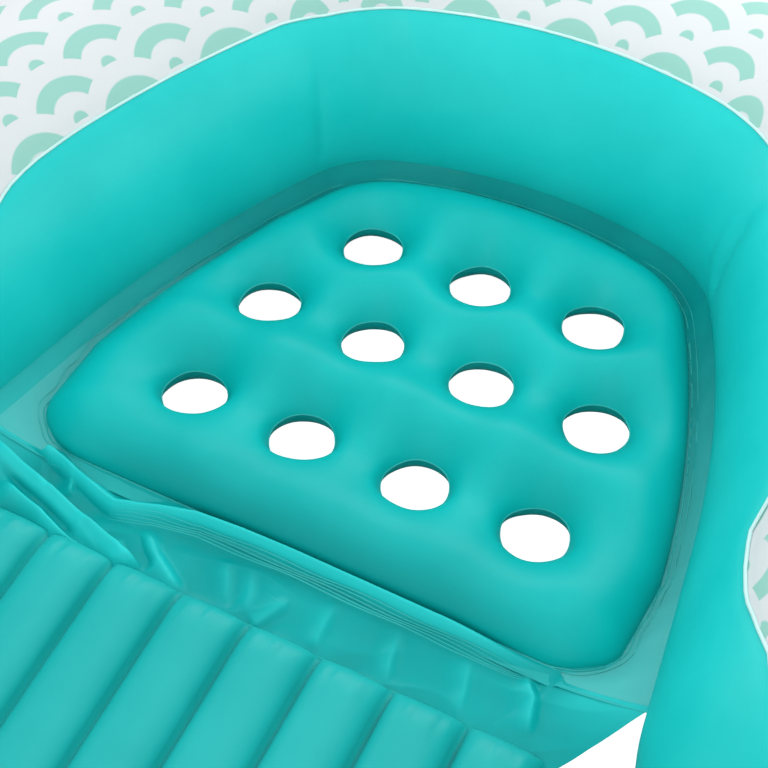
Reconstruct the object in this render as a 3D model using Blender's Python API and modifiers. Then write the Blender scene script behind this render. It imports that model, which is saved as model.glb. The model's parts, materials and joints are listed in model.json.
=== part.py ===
"""Inflatable pool armchair: a U-shaped tube for arms and back, a seat pad with holes, and a ribbed leg rest.

Metres, with +Z up and the ground at z = 0. X runs across the chair and Y from the leg rest to the back.
Every air chamber is made as the real one is, from thin film panels welded along laps, so each panel is a
piece of its own. Lengths along Y are first measured from the front row of holes, and then moved so that
the whole chair is centred on the origin.
"""
import bmesh
import bpy
from math import asin, atan, atan2, ceil, cos, exp, hypot, pi, radians, sin, sqrt, tau
from mathutils import Matrix, Vector
from mathutils.geometry import delaunay_2d_cdt

# Film and welds
FILM = 0.0004
WELD_GAP = 0.0003
LAP_WIDTH = 0.015
MERGE = 0.00001

# Arm and back tube, from the middle of the back round to the nose of each arm
TUBE_RADIUS = 0.150
BACK_REACH = 0.486
BACK_BOW_RADIUS = 0.561
BACK_BOW_DEG = 17.8
CORNER_RADIUS = 0.252
CORNER_DEG = 47.1
ARM_BOW_RADIUS = 1.050
ARM_BOW_DEG = 17.3
ARM_STRAIGHT = 0.145
NOSE_LENGTH = 0.150
CREST_SEAM_DEG = 44
CREST_FLARE_DEG = 52
CREST_DIP_DEG = 8
CREST_DIP_Y = -0.030
CREST_DIP_REACH = 0.050
CREST_LEAD_DEG = 8
CREST_LEAD_Y = -0.070
CREST_LEAD_REACH = 0.060
SEAT_LINE_DEG = 101
LOWER_SEAM_DEG = 118
BACK_STEPS = 3
CORNER_STEPS = 5
ARM_STEPS = 3
STRAIGHT_STEPS = 1
NOSE_STEPS = 4
INNER_STEPS = 3
OUTER_STEPS = 8
BASE_STEPS = 5

# Seat
SEAT_DROP = 0.050
HOLE_RADIUS = 0.0265
HOLE_PITCH = 0.100
HOLE_ROW_MIDDLE = 0.118
HOLE_ROW_BACK = 0.221
HOLE_BACK_PITCH = 0.105
HOLE_POINTS = 10
DIMPLE_RING = 0.013
DIMPLE_REACH = 0.066
DIMPLE_POWER = 2.2
STRIP_WIDTH = 0.017
STRIP_FRONT_WIDTH = 0.030
STRIP_LIP_DEG = 6
PAD_FRONT = 0.097
PAD_CHAMFER_LENGTH = 0.022
PAD_CHAMFER_WIDTH = 0.033
PAD_FRONT_POINTS = 4
PAD_RIM = 0.016
CROWN_REACH = 0.085
CROWN_TOP = 0.042
CROWN_UNDER = 0.036
FILL_SPACING = 0.044
FILL_CLEARANCE = 0.020
FRONT_HEM = 0.015
HEM_SETBACK = 0.0025

# Leg rest and the film that it folds on
RIB_COUNT = 8
RIB_WIDTH = 0.058
RIB_HALF_HEIGHT = 0.026
LEG_LENGTH = 0.460
LEG_FROM_HINGE = 0.033
HINGE_AHEAD = 0.030
HINGE_DROP = 0.006
HINGE_COLUMNS = 16
HINGE_FOLD = 0.003
HINGE_SIDE_GAP = 0.0015
HINGE_SIDE_ROW = 0.004
ACROSS_PLACE_SHARES = (0.0, 0.2, 0.5, 0.8)
ACROSS_HEIGHT_SHARES = (0.0, 0.8, 1.0, 0.8)
ALONG_PLACE_SHARES = (0.0, 0.03, 0.10, 0.25, 0.45, 0.90, 0.97, 1.0)
ALONG_HEIGHT_SHARES = (0.0, 0.0, 0.75, 1.0, 1.0, 0.85, 0.45, 0.0)
FOOT_ROW = 5
HINGE_ROW_SHARES = (0.0, 0.25, 0.5, 0.75, 1.0)

# Inflation valves
VALVE_STEPS = 16
FLANGE_RADIUS = 0.016
FLANGE_THICKNESS = 0.0008
VALVE_PATCH = 0.0185
STEM_RADIUS = 0.0070
STEM_CLEARANCE = 0.0006
STEM_BORE = 0.0045
STEM_DEPTH = 0.018
COLLAR_RADIUS = 0.0095
COLLAR_THICKNESS = 0.0012
FOOT_RADIUS = 0.0090
FOOT_THICKNESS = 0.0010
FLAP_RADIUS = 0.0066
FLAP_THICKNESS = 0.0006
PLUG_CLEARANCE = 0.0003
PLUG_DEPTH = 0.0100
PLUG_POINT = 0.0010
CAP_RADIUS = 0.0085
CAP_THICKNESS = 0.0016
RING_WIDTH = 0.0025
RING_THICKNESS = 0.0010
STRAP_WIDTH = 0.0040
STRAP_THICKNESS = 0.0008
TUBE_VALVE_STEPS = 1
TUBE_VALVE_COLUMN = 5
SEAT_VALVE_BACK = 0.047
LEG_VALVE_RIB = 3
LEG_VALVE_ROWS = (3, 4)
CUT_OVERRUN = 0.005

# Sizes worked out from those above
TEAL = (0.000, 0.500, 0.440)
DEEP_TEAL = (0.000, 0.330, 0.310)
WHITE = (0.780, 0.820, 0.830)
CLEAR = (0.620, 0.800, 0.790)
FILM_STEP = FILM + WELD_GAP
OUTER_RADIUS = TUBE_RADIUS - FILM_STEP
BASE_RADIUS = TUBE_RADIUS - 2 * FILM_STEP
LAP = LAP_WIDTH / TUBE_RADIUS
BASE_ARC = tau - 2 * radians(LOWER_SEAM_DEG) - LAP
FLAT_HALF_ANGLE = BASE_ARC / BASE_STEPS / 2
TUBE_HEIGHT = BASE_RADIUS * cos(FLAT_HALF_ANGLE)
SEAT_HEIGHT = TUBE_HEIGHT - SEAT_DROP
SHEET_OFFSET = (WELD_GAP + FILM) / 2
SEAT_LINE = radians(SEAT_LINE_DEG)
SEAT_LINE_RADIUS = TUBE_RADIUS + WELD_GAP + FILM / 2
LEG_HALF_WIDTH = RIB_COUNT * RIB_WIDTH / 2
HINGE_Y = -PAD_FRONT - HINGE_AHEAD
HINGE_Z = SEAT_HEIGHT - HINGE_DROP
STEM_HOLE = STEM_RADIUS + STEM_CLEARANCE


def leg_pitch():
    """Slope of the leg rest that brings its lowest film just down to the ground."""
    reach = LEG_FROM_HINGE + ALONG_PLACE_SHARES[FOOT_ROW] * LEG_LENGTH
    depth = ALONG_HEIGHT_SHARES[FOOT_ROW] * RIB_HALF_HEIGHT + SHEET_OFFSET + FILM / 2
    return asin(HINGE_Z / hypot(reach, depth)) - atan(depth / reach)


LEG_PITCH = leg_pitch()
CHAIR_BACK = BACK_REACH + OUTER_RADIUS
CHAIR_FRONT = HINGE_Y - (LEG_FROM_HINGE + LEG_LENGTH) * cos(LEG_PITCH)
Y_SHIFT = -(CHAIR_BACK + CHAIR_FRONT) / 2


# Scene and materials

def clear_scene():
    for thing in list(bpy.data.objects):
        bpy.data.objects.remove(thing, do_unlink=True)


def new_collection(name):
    group = bpy.data.collections.new(name)
    bpy.context.scene.collection.children.link(group)
    return group


def material(name, colour, roughness, alpha=1.0):
    made = bpy.data.materials.new(name)
    made.use_nodes = True
    shader = made.node_tree.nodes["Principled BSDF"]
    shader.inputs["Base Color"].default_value = (*colour, 1)
    shader.inputs["Roughness"].default_value = roughness
    shader.inputs["Metallic"].default_value = 0
    shader.inputs["Alpha"].default_value = alpha
    made.diffuse_color = (*colour, alpha)
    return made


def add_object(name, bm, group, finish=None):
    mesh = bpy.data.meshes.new(name)
    bm.to_mesh(mesh)
    bm.free()
    thing = bpy.data.objects.new(name, mesh)
    group.objects.link(thing)
    if finish:
        mesh.materials.append(finish)
    mesh.shade_smooth()
    return thing


def thicken(thing, thickness, offset):
    solidify = thing.modifiers.new("Film", "SOLIDIFY")
    solidify.thickness = thickness
    solidify.offset = offset


def cut(thing, cutter):
    boolean = thing.modifiers.new("Cut", "BOOLEAN")
    boolean.operation = "DIFFERENCE"
    boolean.object = cutter


def join(thing, other):
    boolean = thing.modifiers.new("Join", "BOOLEAN")
    boolean.operation = "UNION"
    boolean.object = other


def bent_grid(columns, rows, place):
    """A flat grid whose corner in column i and row j is moved to place(i, j)."""
    bm = bmesh.new()
    bmesh.ops.create_grid(bm, x_segments=columns, y_segments=rows, size=1)
    for corner in bm.verts:
        i = round((corner.co.x + 1) / 2 * columns)
        j = round((corner.co.y + 1) / 2 * rows)
        corner.co = place(i, j)
    bmesh.ops.remove_doubles(bm, verts=bm.verts, dist=MERGE)
    return bm


def spread(first, last, steps):
    return [first + (last - first) * k / steps for k in range(steps + 1)]


# Path of the tube

def half_path():
    """Stations (x, y, heading, nose angle) from the middle of the back to the nose of the right arm."""
    x, y, heading = 0, BACK_REACH, 0
    stations = [(x, y, heading, 0)]
    bows = (
        (BACK_BOW_RADIUS, BACK_BOW_DEG, BACK_STEPS),
        (CORNER_RADIUS, CORNER_DEG, CORNER_STEPS),
        (ARM_BOW_RADIUS, ARM_BOW_DEG, ARM_STEPS),
    )
    for radius, degrees, steps in bows:
        turn = radians(degrees) / steps
        chord = 2 * radius * sin(turn / 2)
        for _ in range(steps):
            x += chord * cos(heading + turn / 2)
            y -= chord * sin(heading + turn / 2)
            heading += turn
            stations.append((x, y, heading, 0))
    for _ in range(STRAIGHT_STEPS):
        x += ARM_STRAIGHT / STRAIGHT_STEPS * cos(heading)
        y -= ARM_STRAIGHT / STRAIGHT_STEPS * sin(heading)
        stations.append((x, y, heading, 0))
    for k in range(NOSE_STEPS):
        stations.append((x, y, heading, (k + 1) / NOSE_STEPS * pi / 2))
    return stations


def whole_path():
    """Stations from the left arm's nose round the back to the right arm's nose."""
    right = half_path()
    left = [(-x, y, -heading, nose) for x, y, heading, nose in right[:0:-1]]
    return left + right


PATH = whole_path()
NOSE_END = len(PATH) - 1
FIRST_FULL = NOSE_STEPS
LAST_FULL = NOSE_END - NOSE_STEPS


def tube_point(station, radius, angle):
    """A point on the tube; the angle is from the crest, and is positive on the outer side."""
    x, y, heading, nose = station
    side = 1 if x > 0 else -1
    ahead = Vector((cos(heading), -sin(heading), 0)) * side
    outward = Vector((sin(heading), cos(heading), 0))
    middle = Vector((x, y + Y_SHIFT, TUBE_HEIGHT)) + ahead * (NOSE_LENGTH - TUBE_RADIUS + radius) * sin(nose)
    ring = radius * cos(nose)
    return middle + outward * ring * sin(angle) + Vector((0, 0, ring * cos(angle)))


def crest_seam(station):
    """Angle of the teal film's upper weld: it dips on each arm, then sweeps out over the nose."""
    front = station[1] - sin(station[3]) * NOSE_LENGTH
    dip = CREST_DIP_DEG * exp(-((front - CREST_DIP_Y) / CREST_DIP_REACH) ** 2)
    lead = CREST_LEAD_DEG * min(1, max(0, (CREST_LEAD_Y - front) / CREST_LEAD_REACH))
    return radians(lead - dip - CREST_SEAM_DEG + CREST_FLARE_DEG * (1 - cos(station[3])))


def inner_angles(station):
    seam = crest_seam(station)
    lower = -radians(LOWER_SEAM_DEG)
    return [lower - LAP / 2, lower + LAP / 2] + spread(-SEAT_LINE, seam - LAP / 2, INNER_STEPS) + [seam + LAP / 2]


def outer_angles(station):
    seam = crest_seam(station)
    lower = radians(LOWER_SEAM_DEG)
    return [seam - LAP / 2] + spread(seam + LAP / 2, lower - LAP / 2, OUTER_STEPS) + [lower + LAP / 2]


def base_angles(station):
    lower = radians(LOWER_SEAM_DEG)
    return [lower - LAP / 2 - tau] + spread(lower + LAP / 2 - tau, -lower - LAP / 2, BASE_STEPS) + [-lower + LAP / 2]


def tube_panel(name, radius, angles, group, finish):
    columns = [angles(station) for station in PATH]

    def place(i, j):
        return tube_point(PATH[i], radius, columns[i][j])

    panel = add_object(name, bent_grid(NOSE_END, len(columns[0]) - 1, place), group, finish)
    thicken(panel, FILM, -1)
    return panel


def make_bulkhead(group, finish):
    """Film across the tube at the middle of the back, between the two air chambers."""
    bm = bmesh.new()
    radius = (BASE_RADIUS - FILM) * cos(FLAT_HALF_ANGLE) - WELD_GAP
    bmesh.ops.create_circle(bm, cap_ends=True, segments=2 * VALVE_STEPS, radius=radius,
                            matrix=Matrix.Rotation(pi / 2, 4, "Y"))
    bulkhead = add_object("tube_bulkhead", bm, group, finish)
    bulkhead.location = (0, BACK_REACH + Y_SHIFT, TUBE_HEIGHT)
    thicken(bulkhead, FILM, 0)


# Outlines of the seat, seen from above and measured from the front row of holes

def hole_centres():
    front = [((k - 1.5) * HOLE_PITCH, 0) for k in range(4)]
    middle = [((k - 1.5) * HOLE_PITCH, HOLE_ROW_MIDDLE) for k in range(4)]
    back = [((k - 1) * HOLE_BACK_PITCH, HOLE_ROW_BACK) for k in range(3)]
    return [Vector(spot) for spot in front + middle + back]


def from_path(station, inward):
    x, y, heading, _ = station
    return Vector((x - inward * sin(heading), y - inward * cos(heading)))


def at_depth(ring, limit):
    """Cuts an open line of plan points off square at y = limit, at both ends."""
    kept = [spot for spot in ring if spot.y > limit]
    first = ring.index(kept[0])
    last = ring.index(kept[-1])

    def crossing(inside, outside):
        share = (inside.y - limit) / (inside.y - outside.y)
        return inside.lerp(outside, share)

    return [crossing(ring[first], ring[first - 1])] + kept + [crossing(ring[last], ring[last + 1])]


def strip_ring(inward):
    full = PATH[FIRST_FULL:LAST_FULL + 1]
    return at_depth([from_path(station, inward) for station in full], -PAD_FRONT - FRONT_HEM)


def pad_outline():
    """Closed outline of the pad: it follows the tube at the back, and has a cut corner on each side in front."""
    inward = SEAT_LINE_RADIUS * sin(SEAT_LINE) + STRIP_WIDTH
    full = PATH[FIRST_FULL + STRAIGHT_STEPS:LAST_FULL + 1 - STRAIGHT_STEPS]
    ring = [from_path(station, inward) for station in full]
    side = ring[-1].x
    corner_y = -PAD_FRONT + PAD_CHAMFER_LENGTH
    corner_x = side - STRIP_FRONT_WIDTH + STRIP_WIDTH + PAD_CHAMFER_LENGTH * sin(PATH[LAST_FULL][2] / 2) ** 2
    front = spread(corner_x - PAD_CHAMFER_WIDTH, -corner_x + PAD_CHAMFER_WIDTH, PAD_FRONT_POINTS)
    return (ring + [Vector((corner_x, corner_y))] + [Vector((x, -PAD_FRONT)) for x in front]
            + [Vector((-corner_x, corner_y))])


def inset(outline, distance):
    """The closed clockwise outline, moved inwards along the mean normal of each corner."""
    moved = []
    for k, spot in enumerate(outline):
        before = (spot - outline[k - 1]).normalized()
        after = (outline[(k + 1) % len(outline)] - spot).normalized()
        along = (before + after).normalized()
        moved.append(spot + Vector((along.y, -along.x)) * distance)
    return moved


def edge_distance(spot, outline):
    """Distance from a plan point to the nearest side of a closed outline."""
    nearest = None
    for k, start in enumerate(outline):
        side = outline[(k + 1) % len(outline)] - start
        share = max(0, min(1, (spot - start).dot(side) / side.length_squared))
        gap = (spot - start - side * share).length
        nearest = gap if nearest is None else min(nearest, gap)
    return nearest


def inside(spot, outline):
    crossed = False
    for k, start in enumerate(outline):
        end = outline[k - 1]
        if (start.y > spot.y) != (end.y > spot.y):
            reach = start.x + (spot.y - start.y) / (end.y - start.y) * (end.x - start.x)
            crossed = crossed != (spot.x < reach)
    return crossed


def ring_points(centre, radius, count, turned=0):
    angles = [(k + turned) / count * tau for k in range(count)]
    return [centre + Vector((radius * cos(angle), radius * sin(angle))) for angle in angles]


HOLES = hole_centres()
PAD_OUTLINE = pad_outline()
SEAT_VALVE = Vector((0, SEAT_VALVE_BACK - PAD_FRONT))


def rounded(share):
    share = max(0, min(1, share))
    return sqrt(1 - (1 - share) ** 2)


def dimple(share):
    """A hole's pull on the film: a soft funnel, steepest at its edge."""
    return 1 - (1 - max(0, min(1, share))) ** DIMPLE_POWER


def crown(spot):
    """Share of the pad's full swell at a plan point: none at its outline and round its holes."""
    swell = rounded(edge_distance(spot, PAD_OUTLINE) / CROWN_REACH)
    for centre in HOLES:
        swell *= dimple(((spot - centre).length - HOLE_RADIUS) / DIMPLE_REACH)
    return swell


VALVE_SWELL = crown(SEAT_VALVE)


def fill_points(keep_clear):
    """Plan points spaced over the pad, clear of its rim, its hole rings and the valve patch."""
    spots = []
    low_x = min(spot.x for spot in PAD_OUTLINE)
    low_y = min(spot.y for spot in PAD_OUTLINE)
    across = ceil(-2 * low_x / FILL_SPACING)
    deep = ceil((max(spot.y for spot in PAD_OUTLINE) - low_y) / FILL_SPACING)
    for j in range(deep + 1):
        for i in range(across + 1):
            spot = Vector((low_x + (i + j % 2 / 2) * FILL_SPACING, low_y + j * FILL_SPACING))
            clear = all((spot - centre).length > radius + FILL_CLEARANCE / 2 for centre, radius in keep_clear)
            if clear and inside(spot, PAD_OUTLINE) and edge_distance(spot, PAD_OUTLINE) > FILL_CLEARANCE + PAD_RIM / 2:
                spots.append(spot)
    return spots


def plan_sheet(outline, rings, line, loose, holes, height):
    """A sheet triangulated in plan along its rings and one open line, with each corner lifted to height(spot)."""
    spots = list(outline)
    edges = [(k, (k + 1) % len(outline)) for k in range(len(outline))]
    edges += [(len(spots) + k, len(spots) + k + 1) for k in range(len(line) - 1)]
    spots += line
    for ring in rings:
        first = len(spots)
        spots += ring
        edges += [(first + k, first + (k + 1) % len(ring)) for k in range(len(ring))]
    spots += loose
    found, _, faces, _, _, _ = delaunay_2d_cdt(spots, edges, [list(range(len(outline)))], 1, MERGE)
    bm = bmesh.new()
    corners = [bm.verts.new(height(spot)) for spot in found]
    for face in faces:
        middle = sum((found[k] for k in face), Vector((0, 0))) / len(face)
        if all((middle - centre).length > radius * cos(pi / HOLE_POINTS) for centre, radius in holes):
            bm.faces.new([corners[k] for k in face])
    loose_corners = [corner for corner in bm.verts if not corner.link_faces]
    bmesh.ops.delete(bm, geom=loose_corners, context="VERTS")
    bmesh.ops.recalc_face_normals(bm, faces=bm.faces)
    if sum(face.normal.z for face in bm.faces) < 0:
        bmesh.ops.reverse_faces(bm, faces=bm.faces)
    return bm


def hole_rings():
    rings = []
    for centre in HOLES:
        rings.append(ring_points(centre, HOLE_RADIUS, HOLE_POINTS))
        rings.append(ring_points(centre, HOLE_RADIUS + DIMPLE_RING, HOLE_POINTS, 0.5))
    return rings


def lifted(spot, height):
    return Vector((spot.x, spot.y + Y_SHIFT, height))


def make_seat_top(group, finish):
    outline = PAD_OUTLINE

    def height(spot):
        return lifted(spot, SEAT_HEIGHT + SHEET_OFFSET + CROWN_TOP * crown(spot))

    rings = [inset(outline, PAD_RIM)] + hole_rings()
    clear = [(centre, HOLE_RADIUS + DIMPLE_RING) for centre in HOLES]
    bm = plan_sheet(outline, rings, [], fill_points(clear), [(centre, HOLE_RADIUS) for centre in HOLES], height)
    thicken(add_object("seat_top_film", bm, group, finish), FILM, 0)


def strip_height(spot, line):
    """Height of the flat strip: it climbs from the pad's weld to the line where it meets the tube."""
    top = TUBE_HEIGHT + SEAT_LINE_RADIUS * cos(SEAT_LINE)
    to_pad = edge_distance(spot, PAD_OUTLINE)
    to_tube = min((spot - place).length for place in line)
    share = 1 if to_tube < MERGE else to_pad / (to_pad + to_tube)
    return SEAT_HEIGHT + (top - SEAT_HEIGHT) * share


def make_seat_base(group, finish):
    """The pad's under film and the strip round it, with a lip that lies down along the tube."""
    line = strip_ring(SEAT_LINE_RADIUS * sin(SEAT_LINE))
    lip_angle = SEAT_LINE + radians(STRIP_LIP_DEG)
    lip = strip_ring(SEAT_LINE_RADIUS * sin(lip_angle))
    lip_height = TUBE_HEIGHT + SEAT_LINE_RADIUS * cos(lip_angle)
    front_y = line[0].y
    hem_x = [spot.x for spot in PAD_OUTLINE if abs(spot.y + PAD_FRONT) < MERGE]
    outline = lip + [line[-1]] + [Vector((x, front_y)) for x in hem_x] + [line[0]]
    patch = SEAT_HEIGHT - SHEET_OFFSET - CROWN_UNDER * VALVE_SWELL

    def height(spot):
        if any((spot - place).length < MERGE for place in lip):
            return lifted(spot, lip_height)
        if (spot - SEAT_VALVE).length < VALVE_PATCH + MERGE:
            return lifted(spot, patch)
        if inside(spot, PAD_OUTLINE) and edge_distance(spot, PAD_OUTLINE) > MERGE:
            return lifted(spot, SEAT_HEIGHT - SHEET_OFFSET - CROWN_UNDER * crown(spot))
        if abs(spot.y - front_y) < MERGE and abs(spot.x) < abs(hem_x[0]) + MERGE:
            return lifted(spot, SEAT_HEIGHT - SHEET_OFFSET)
        return lifted(spot, strip_height(spot, line) - SHEET_OFFSET * (1 - (edge_distance(spot, PAD_OUTLINE) > MERGE)))

    rings = [PAD_OUTLINE, inset(PAD_OUTLINE, PAD_RIM), ring_points(SEAT_VALVE, VALVE_PATCH, HOLE_POINTS),
             ring_points(SEAT_VALVE, STEM_HOLE, HOLE_POINTS)] + hole_rings()
    clear = [(centre, HOLE_RADIUS + DIMPLE_RING) for centre in HOLES] + [(SEAT_VALVE, VALVE_PATCH)]
    holes = [(centre, HOLE_RADIUS) for centre in HOLES] + [(SEAT_VALVE, STEM_HOLE)]
    bm = plan_sheet(outline, rings, line, fill_points(clear), holes, height)
    thicken(add_object("seat_base_sheet", bm, group, finish), FILM, 0)


# Leg rest

def leg_point(x, ahead, above):
    """A point on the leg rest, from its distance ahead of the fold and above its middle plane."""
    y = HINGE_Y - ahead * cos(LEG_PITCH) - above * sin(LEG_PITCH)
    z = HINGE_Z - ahead * sin(LEG_PITCH) + above * cos(LEG_PITCH)
    return Vector((x, y + Y_SHIFT, z))


def leg_swell(i, j, under):
    """Height share of the film over column i and row j; a patch round the valve underneath is level."""
    rib, place = divmod(i, len(ACROSS_PLACE_SHARES))
    across = ACROSS_HEIGHT_SHARES[place]
    if under and rib == LEG_VALVE_RIB and place and j in LEG_VALVE_ROWS:
        across = 1
    return across * ALONG_HEIGHT_SHARES[j]


def leg_film(name, up, group, finish):
    places = len(ACROSS_PLACE_SHARES)

    def place(i, j):
        rib, step = divmod(i, places)
        x = -LEG_HALF_WIDTH + (rib + ACROSS_PLACE_SHARES[step]) * RIB_WIDTH
        ahead = LEG_FROM_HINGE + ALONG_PLACE_SHARES[j] * LEG_LENGTH
        return leg_point(x, ahead, up * (SHEET_OFFSET + RIB_HALF_HEIGHT * leg_swell(i, j, up < 0)))

    bm = bent_grid(RIB_COUNT * places, len(ALONG_PLACE_SHARES) - 1, place)
    film = add_object(name, bm, group, finish)
    thicken(film, FILM, 0)
    return film


def make_hinge_film(group, finish):
    """Slack, creased film from the front edge of the seat's sheet to the back hem of the leg rest."""
    corner = strip_ring(SEAT_LINE_RADIUS * sin(SEAT_LINE))[-1]
    level = SEAT_HEIGHT - SHEET_OFFSET
    climb = TUBE_HEIGHT + SEAT_LINE_RADIUS * cos(SEAT_LINE) - level
    hem = max(spot.x for spot in PAD_OUTLINE if abs(spot.y + PAD_FRONT) < MERGE)
    rows = len(HINGE_ROW_SHARES) - 1
    leg_hem = ALONG_PLACE_SHARES[1] * LEG_LENGTH

    def back_edge(side):
        """Where the film leaves the seat's sheet, and how far it laps back: only the level hem has a lap."""
        x = side * (corner.x - HINGE_SIDE_GAP)
        height = level + climb * max(0, abs(x) - hem) / (corner.x - hem) + FILM_STEP
        if abs(x) < hem:
            return Vector((x, corner.y + Y_SHIFT, height)), FRONT_HEM - HEM_SETBACK
        return Vector((x, corner.y - HINGE_SIDE_ROW + Y_SHIFT, height)), HINGE_SIDE_ROW - WELD_GAP

    def place(i, j):
        side = 2 * i / HINGE_COLUMNS - 1
        start, lap = back_edge(side)
        end = leg_point(side * LEG_HALF_WIDTH, LEG_FROM_HINGE, SHEET_OFFSET + FILM_STEP)
        if j == 0:
            return start + Vector((0, lap, 0))
        if j == rows + 2:
            return leg_point(side * LEG_HALF_WIDTH, LEG_FROM_HINGE + leg_hem, SHEET_OFFSET + FILM_STEP)
        share = HINGE_ROW_SHARES[j - 1]
        fold = HINGE_FOLD * sin(pi * share) * sin(i * pi / 2 + j)
        return start.lerp(end, share) + Vector((0, 0, fold))

    bm = bent_grid(HINGE_COLUMNS, rows + 2, place)
    for face in bm.faces:
        face.normal_flip()
    thicken(add_object("hinge_film", bm, group, finish), FILM, 0)


# Inflation valves

def turned(name, profile, closed, group, finish=None):
    """A round piece about Z from a profile of (radius, height) points that runs down its outer side."""
    bm = bmesh.new()
    corners = [bm.verts.new((radius, 0, height)) for radius, height in profile]
    for start, end in zip(corners, corners[1:] + corners[:1] if closed else corners[1:]):
        bm.edges.new((start, end))
    piece = add_object(name, bm, group, finish)
    screw = piece.modifiers.new("Turn", "SCREW")
    screw.steps = VALVE_STEPS
    screw.render_steps = VALVE_STEPS
    screw.use_merge_vertices = True
    screw.merge_threshold = MERGE
    return piece


def valve_frame(name, origin, normal, group):
    """An empty on the valve's axis: Z points out of the chamber, and X lies level where it can."""
    level = Vector((0, 0, 1)).cross(normal)
    across = level.normalized() if level.length > MERGE else Vector((1, 0, 0))
    turn = Matrix((across, normal.cross(across), normal)).transposed()
    frame = bpy.data.objects.new(name, None)
    group.objects.link(frame)
    frame.matrix_world = Matrix.Translation(origin) @ turn.to_4x4()
    return frame


def strap_piece(name, group, low, high, inner, outer):
    """L-shaped strap from the ring up to the rim of the cap, drawn in side view and extruded."""
    outline = bpy.data.curves.new(name, "CURVE")
    outline.dimensions = "2D"
    outline.fill_mode = "BOTH"
    outline.extrude = STRAP_WIDTH / 2
    corners = ((outer, low), (outer, high), (inner, high), (inner, high - STRAP_THICKNESS),
               (outer - STRAP_THICKNESS, high - STRAP_THICKNESS), (outer - STRAP_THICKNESS, low))
    line = outline.splines.new("POLY")
    line.points.add(len(corners) - 1)
    for point, (across, up) in zip(line.points, corners):
        point.co = (across, up, 0, 1)
    line.use_cyclic_u = True
    drawn = bpy.data.objects.new(name, outline)
    group.objects.link(drawn)
    bpy.context.view_layer.update()
    mesh = bpy.data.meshes.new_from_object(drawn.evaluated_get(bpy.context.evaluated_depsgraph_get()))
    bpy.data.objects.remove(drawn, do_unlink=True)
    bm = bmesh.new()
    bm.from_mesh(mesh)
    bpy.data.meshes.remove(mesh)
    bmesh.ops.remove_doubles(bm, verts=bm.verts, dist=MERGE)
    bmesh.ops.transform(bm, matrix=Matrix.Rotation(pi / 2, 4, "X"), verts=bm.verts)
    strap = add_object(name, bm, group)
    strap.hide_render = True
    strap.display_type = "WIRE"
    return strap


def make_valve(name, origin, normal, finishes, group, cutters):
    """The five pieces of one valve, pushed in, from the film's outer face at origin."""
    frame = valve_frame(name + "_axis", origin, normal, group)
    flange_top = -FILM_STEP
    collar_low = WELD_GAP
    collar_top = collar_low + COLLAR_THICKNESS
    flange = ((FLANGE_RADIUS, flange_top), (FLANGE_RADIUS, flange_top - FLANGE_THICKNESS),
              (STEM_HOLE, flange_top - FLANGE_THICKNESS), (STEM_HOLE, flange_top))
    stem = ((COLLAR_RADIUS, collar_top), (COLLAR_RADIUS, collar_low), (STEM_RADIUS, collar_low),
            (STEM_RADIUS, FOOT_THICKNESS - STEM_DEPTH), (FOOT_RADIUS, FOOT_THICKNESS - STEM_DEPTH),
            (FOOT_RADIUS, -STEM_DEPTH), (STEM_BORE, -STEM_DEPTH), (STEM_BORE, collar_top))
    flap_top = -STEM_DEPTH - WELD_GAP
    flap = ((0, 0), (FLAP_RADIUS, 0), (FLAP_RADIUS, -FLAP_THICKNESS), (0, -FLAP_THICKNESS))
    cap_low = collar_top + WELD_GAP
    plug = STEM_BORE - PLUG_CLEARANCE
    cap = ((0, cap_low + CAP_THICKNESS), (CAP_RADIUS, cap_low + CAP_THICKNESS), (CAP_RADIUS, cap_low),
           (plug, cap_low), (plug, cap_low - PLUG_DEPTH), (plug - PLUG_POINT, cap_low - PLUG_DEPTH - PLUG_POINT),
           (0, cap_low - PLUG_DEPTH - PLUG_POINT))
    ring_in = COLLAR_RADIUS + PLUG_CLEARANCE
    ring_out = ring_in + RING_WIDTH
    ring = ((ring_out, collar_low + RING_THICKNESS), (ring_out, collar_low), (ring_in, collar_low),
            (ring_in, collar_low + RING_THICKNESS))
    pieces = (
        turned(name + "_flange", flange, True, group, finishes["clear"]),
        turned(name + "_stem", stem, True, group, finishes["clear"]),
        turned(name + "_cap", cap, False, group, finishes["clear"]),
        turned(name + "_cap_ring", ring, True, group, finishes["clear"]),
    )
    strap = strap_piece(name + "_strap_cutter", cutters, collar_low + RING_THICKNESS / 2, cap_low + CAP_THICKNESS,
                        CAP_RADIUS + PLUG_CLEARANCE, ring_out - RING_WIDTH / 4)
    join(pieces[3], strap)
    for piece in pieces + (strap,):
        piece.parent = frame
    check = turned(name + "_flap", flap, False, group, finishes["flap"])
    hinge = bpy.data.objects.new(name + "_flap_axis", None)
    group.objects.link(hinge)
    hinge.parent = frame
    hinge.location = (-FLAP_RADIUS, 0, flap_top)
    check.parent = hinge
    check.location = (FLAP_RADIUS, 0, 0)


def stem_cutter(name, origin, normal, cutters):
    bm = bmesh.new()
    bmesh.ops.create_cone(bm, cap_ends=True, segments=VALVE_STEPS, radius1=STEM_HOLE, radius2=STEM_HOLE,
                          depth=2 * CUT_OVERRUN)
    cutter = add_object(name + "_hole_cutter", bm, cutters)
    cutter.matrix_world = Matrix.Translation(origin) @ normal.to_track_quat("Z", "Y").to_matrix().to_4x4()
    cutter.hide_render = True
    cutter.display_type = "WIRE"
    return cutter


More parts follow.
